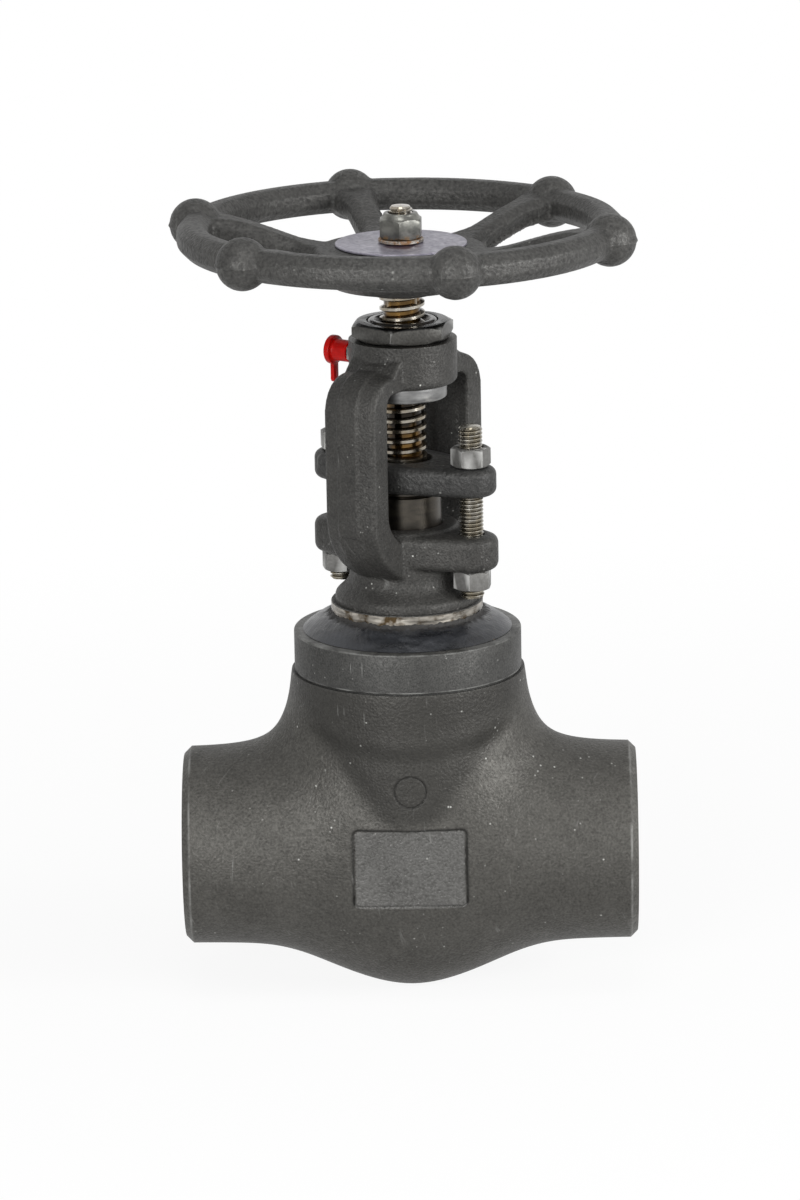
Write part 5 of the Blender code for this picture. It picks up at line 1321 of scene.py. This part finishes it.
wheel_nut = hex_nut("domed_lock_nut", 0.0132, 0.0062, 0.0042, math.radians(27), (0.0056, 0.0020))
move_to(wheel_nut, Vector((0, 0, washer_low + 0.0014)))
shade(wheel_nut, 30)
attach(wheel_nut, "stem")
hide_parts("handwheel_nut")
zinc, tree, shader = new_finish("dulled zinc nut")
here = place_of(tree)
dulled = cloud(tree, here, 300, 3)
colour = tint(tree, reach(tree, dulled, 0.35, 0.65), (0.080, 0.080, 0.074), (0.185, 0.184, 0.166))
low_part = reach(tree, wire(tree, "SeparateXYZ", {0: here}).outputs[2], washer_low + 0.0014, washer_low + 0.0030, 1, 0)
rust = sums(tree, "MULTIPLY", low_part, reach(tree, cloud(tree, here, 700, 3), 0.45, 0.6))
feed(tree, shader["Base Color"], tint(tree, rust, colour, (0.30, 0.17, 0.06)))
feed(tree, shader["Roughness"], reach(tree, dulled, 0.3, 0.7, 0.42, 0.28))
shader["Metallic"].default_value = 0.85
feed(tree, shader["Normal"], wire(tree, "Bump", {"Height": cloud(tree, here, 1400, 3), "Strength": 0.15,
                                                 "Distance": 0.00015}).outputs[0])
dress(wheel_nut, zinc)


# Studio
# A white table and backdrop, soft lamps above and in front, and the camera where the photograph was taken from.
floor_level = belly_bottom - 0.0004
let_go()
bpy.ops.mesh.primitive_plane_add(size=12, location=(0, 3, floor_level))
floor = name_new("table_top")
white, tree, shader = new_finish("white table")
from_valve = wire(tree, "VectorMath", {0: place_of(tree)}, operation="LENGTH").outputs["Value"]
shader["Base Color"].default_value = (0.86, 0.86, 0.86, 1)
shader["Roughness"].default_value = 0.9
shader["Specular IOR Level"].default_value = 0.0
rays = tree.nodes.new("ShaderNodeLightPath").outputs
seen = sums(tree, "MAXIMUM", rays["Is Camera Ray"], sums(tree, "MAXIMUM", rays["Is Glossy Ray"],
                                                          rays["Is Transmission Ray"]))
glow = wire(tree, "Emission", {"Color": (1, 1, 1, 1), "Strength": 1.0})
mix = wire(tree, "MixShader", {0: sums(tree, "MULTIPLY", seen, reach(tree, from_valve, 0.1, 0.6, 0.90, 1.0))})
tree.links.new(tree.nodes["Principled BSDF"].outputs[0], mix.inputs[1])
tree.links.new(glow.outputs[0], mix.inputs[2])
tree.links.new(mix.outputs[0], tree.nodes["Material Output"].inputs["Surface"])
dress(floor, white)

world = bpy.data.worlds.new("white room")
bpy.context.scene.world = world
world.use_nodes = True
tree = world.node_tree
rays = tree.nodes.new("ShaderNodeLightPath").outputs
seen = sums(tree, "MAXIMUM", rays["Is Camera Ray"], sums(tree, "MAXIMUM", rays["Is Glossy Ray"],
                                                          rays["Is Transmission Ray"]))
ROOM_LIGHT = 0.3
tree.links.new(reach(tree, seen, 0, 1, ROOM_LIGHT, 1.0), tree.nodes["Background"].inputs["Strength"])
tree.nodes["Background"].inputs["Color"].default_value = (1, 1, 1, 1)


def lamp(name, place, aim, size, watts):
    let_go()
    bpy.ops.object.light_add(type="AREA", location=place)
    light = bpy.context.object
    light.name = name
    light.data.shape = "DISK"
    light.data.size = size
    light.data.energy = watts
    light.rotation_euler = (Vector(aim) - Vector(place)).to_track_quat("-Z", "Y").to_euler()


lamp("right_softbox", (1.20, -0.60, 0.42), (0, 0, 0.07), 0.7, 20)
lamp("front_softbox", (-0.55, -1.35, 0.40), (0, 0, 0.07), 0.7, 17)
lamp("top_softbox", (0.0, -0.5, 1.2), (0, 0, 0.1), 0.5, 3)

let_go()
bpy.ops.object.camera_add(location=(0.0229724, -1.8796129, 0.5730403))
camera = bpy.context.object
camera.name = "photo_camera"
look = Matrix(((0.99981744, 0.01397903, 0.01302559), (0.0090769, 0.25238596, -0.96758407),
               (-0.01681336, 0.96752567, 0.252213)))
camera.rotation_euler = look.to_euler()
camera.data.sensor_fit = "AUTO"
camera.data.sensor_width = 36
camera.data.lens = 176.739
camera.data.clip_start = 0.05
bpy.context.scene.camera = camera
bpy.context.scene.view_settings.view_transform = "Standard"
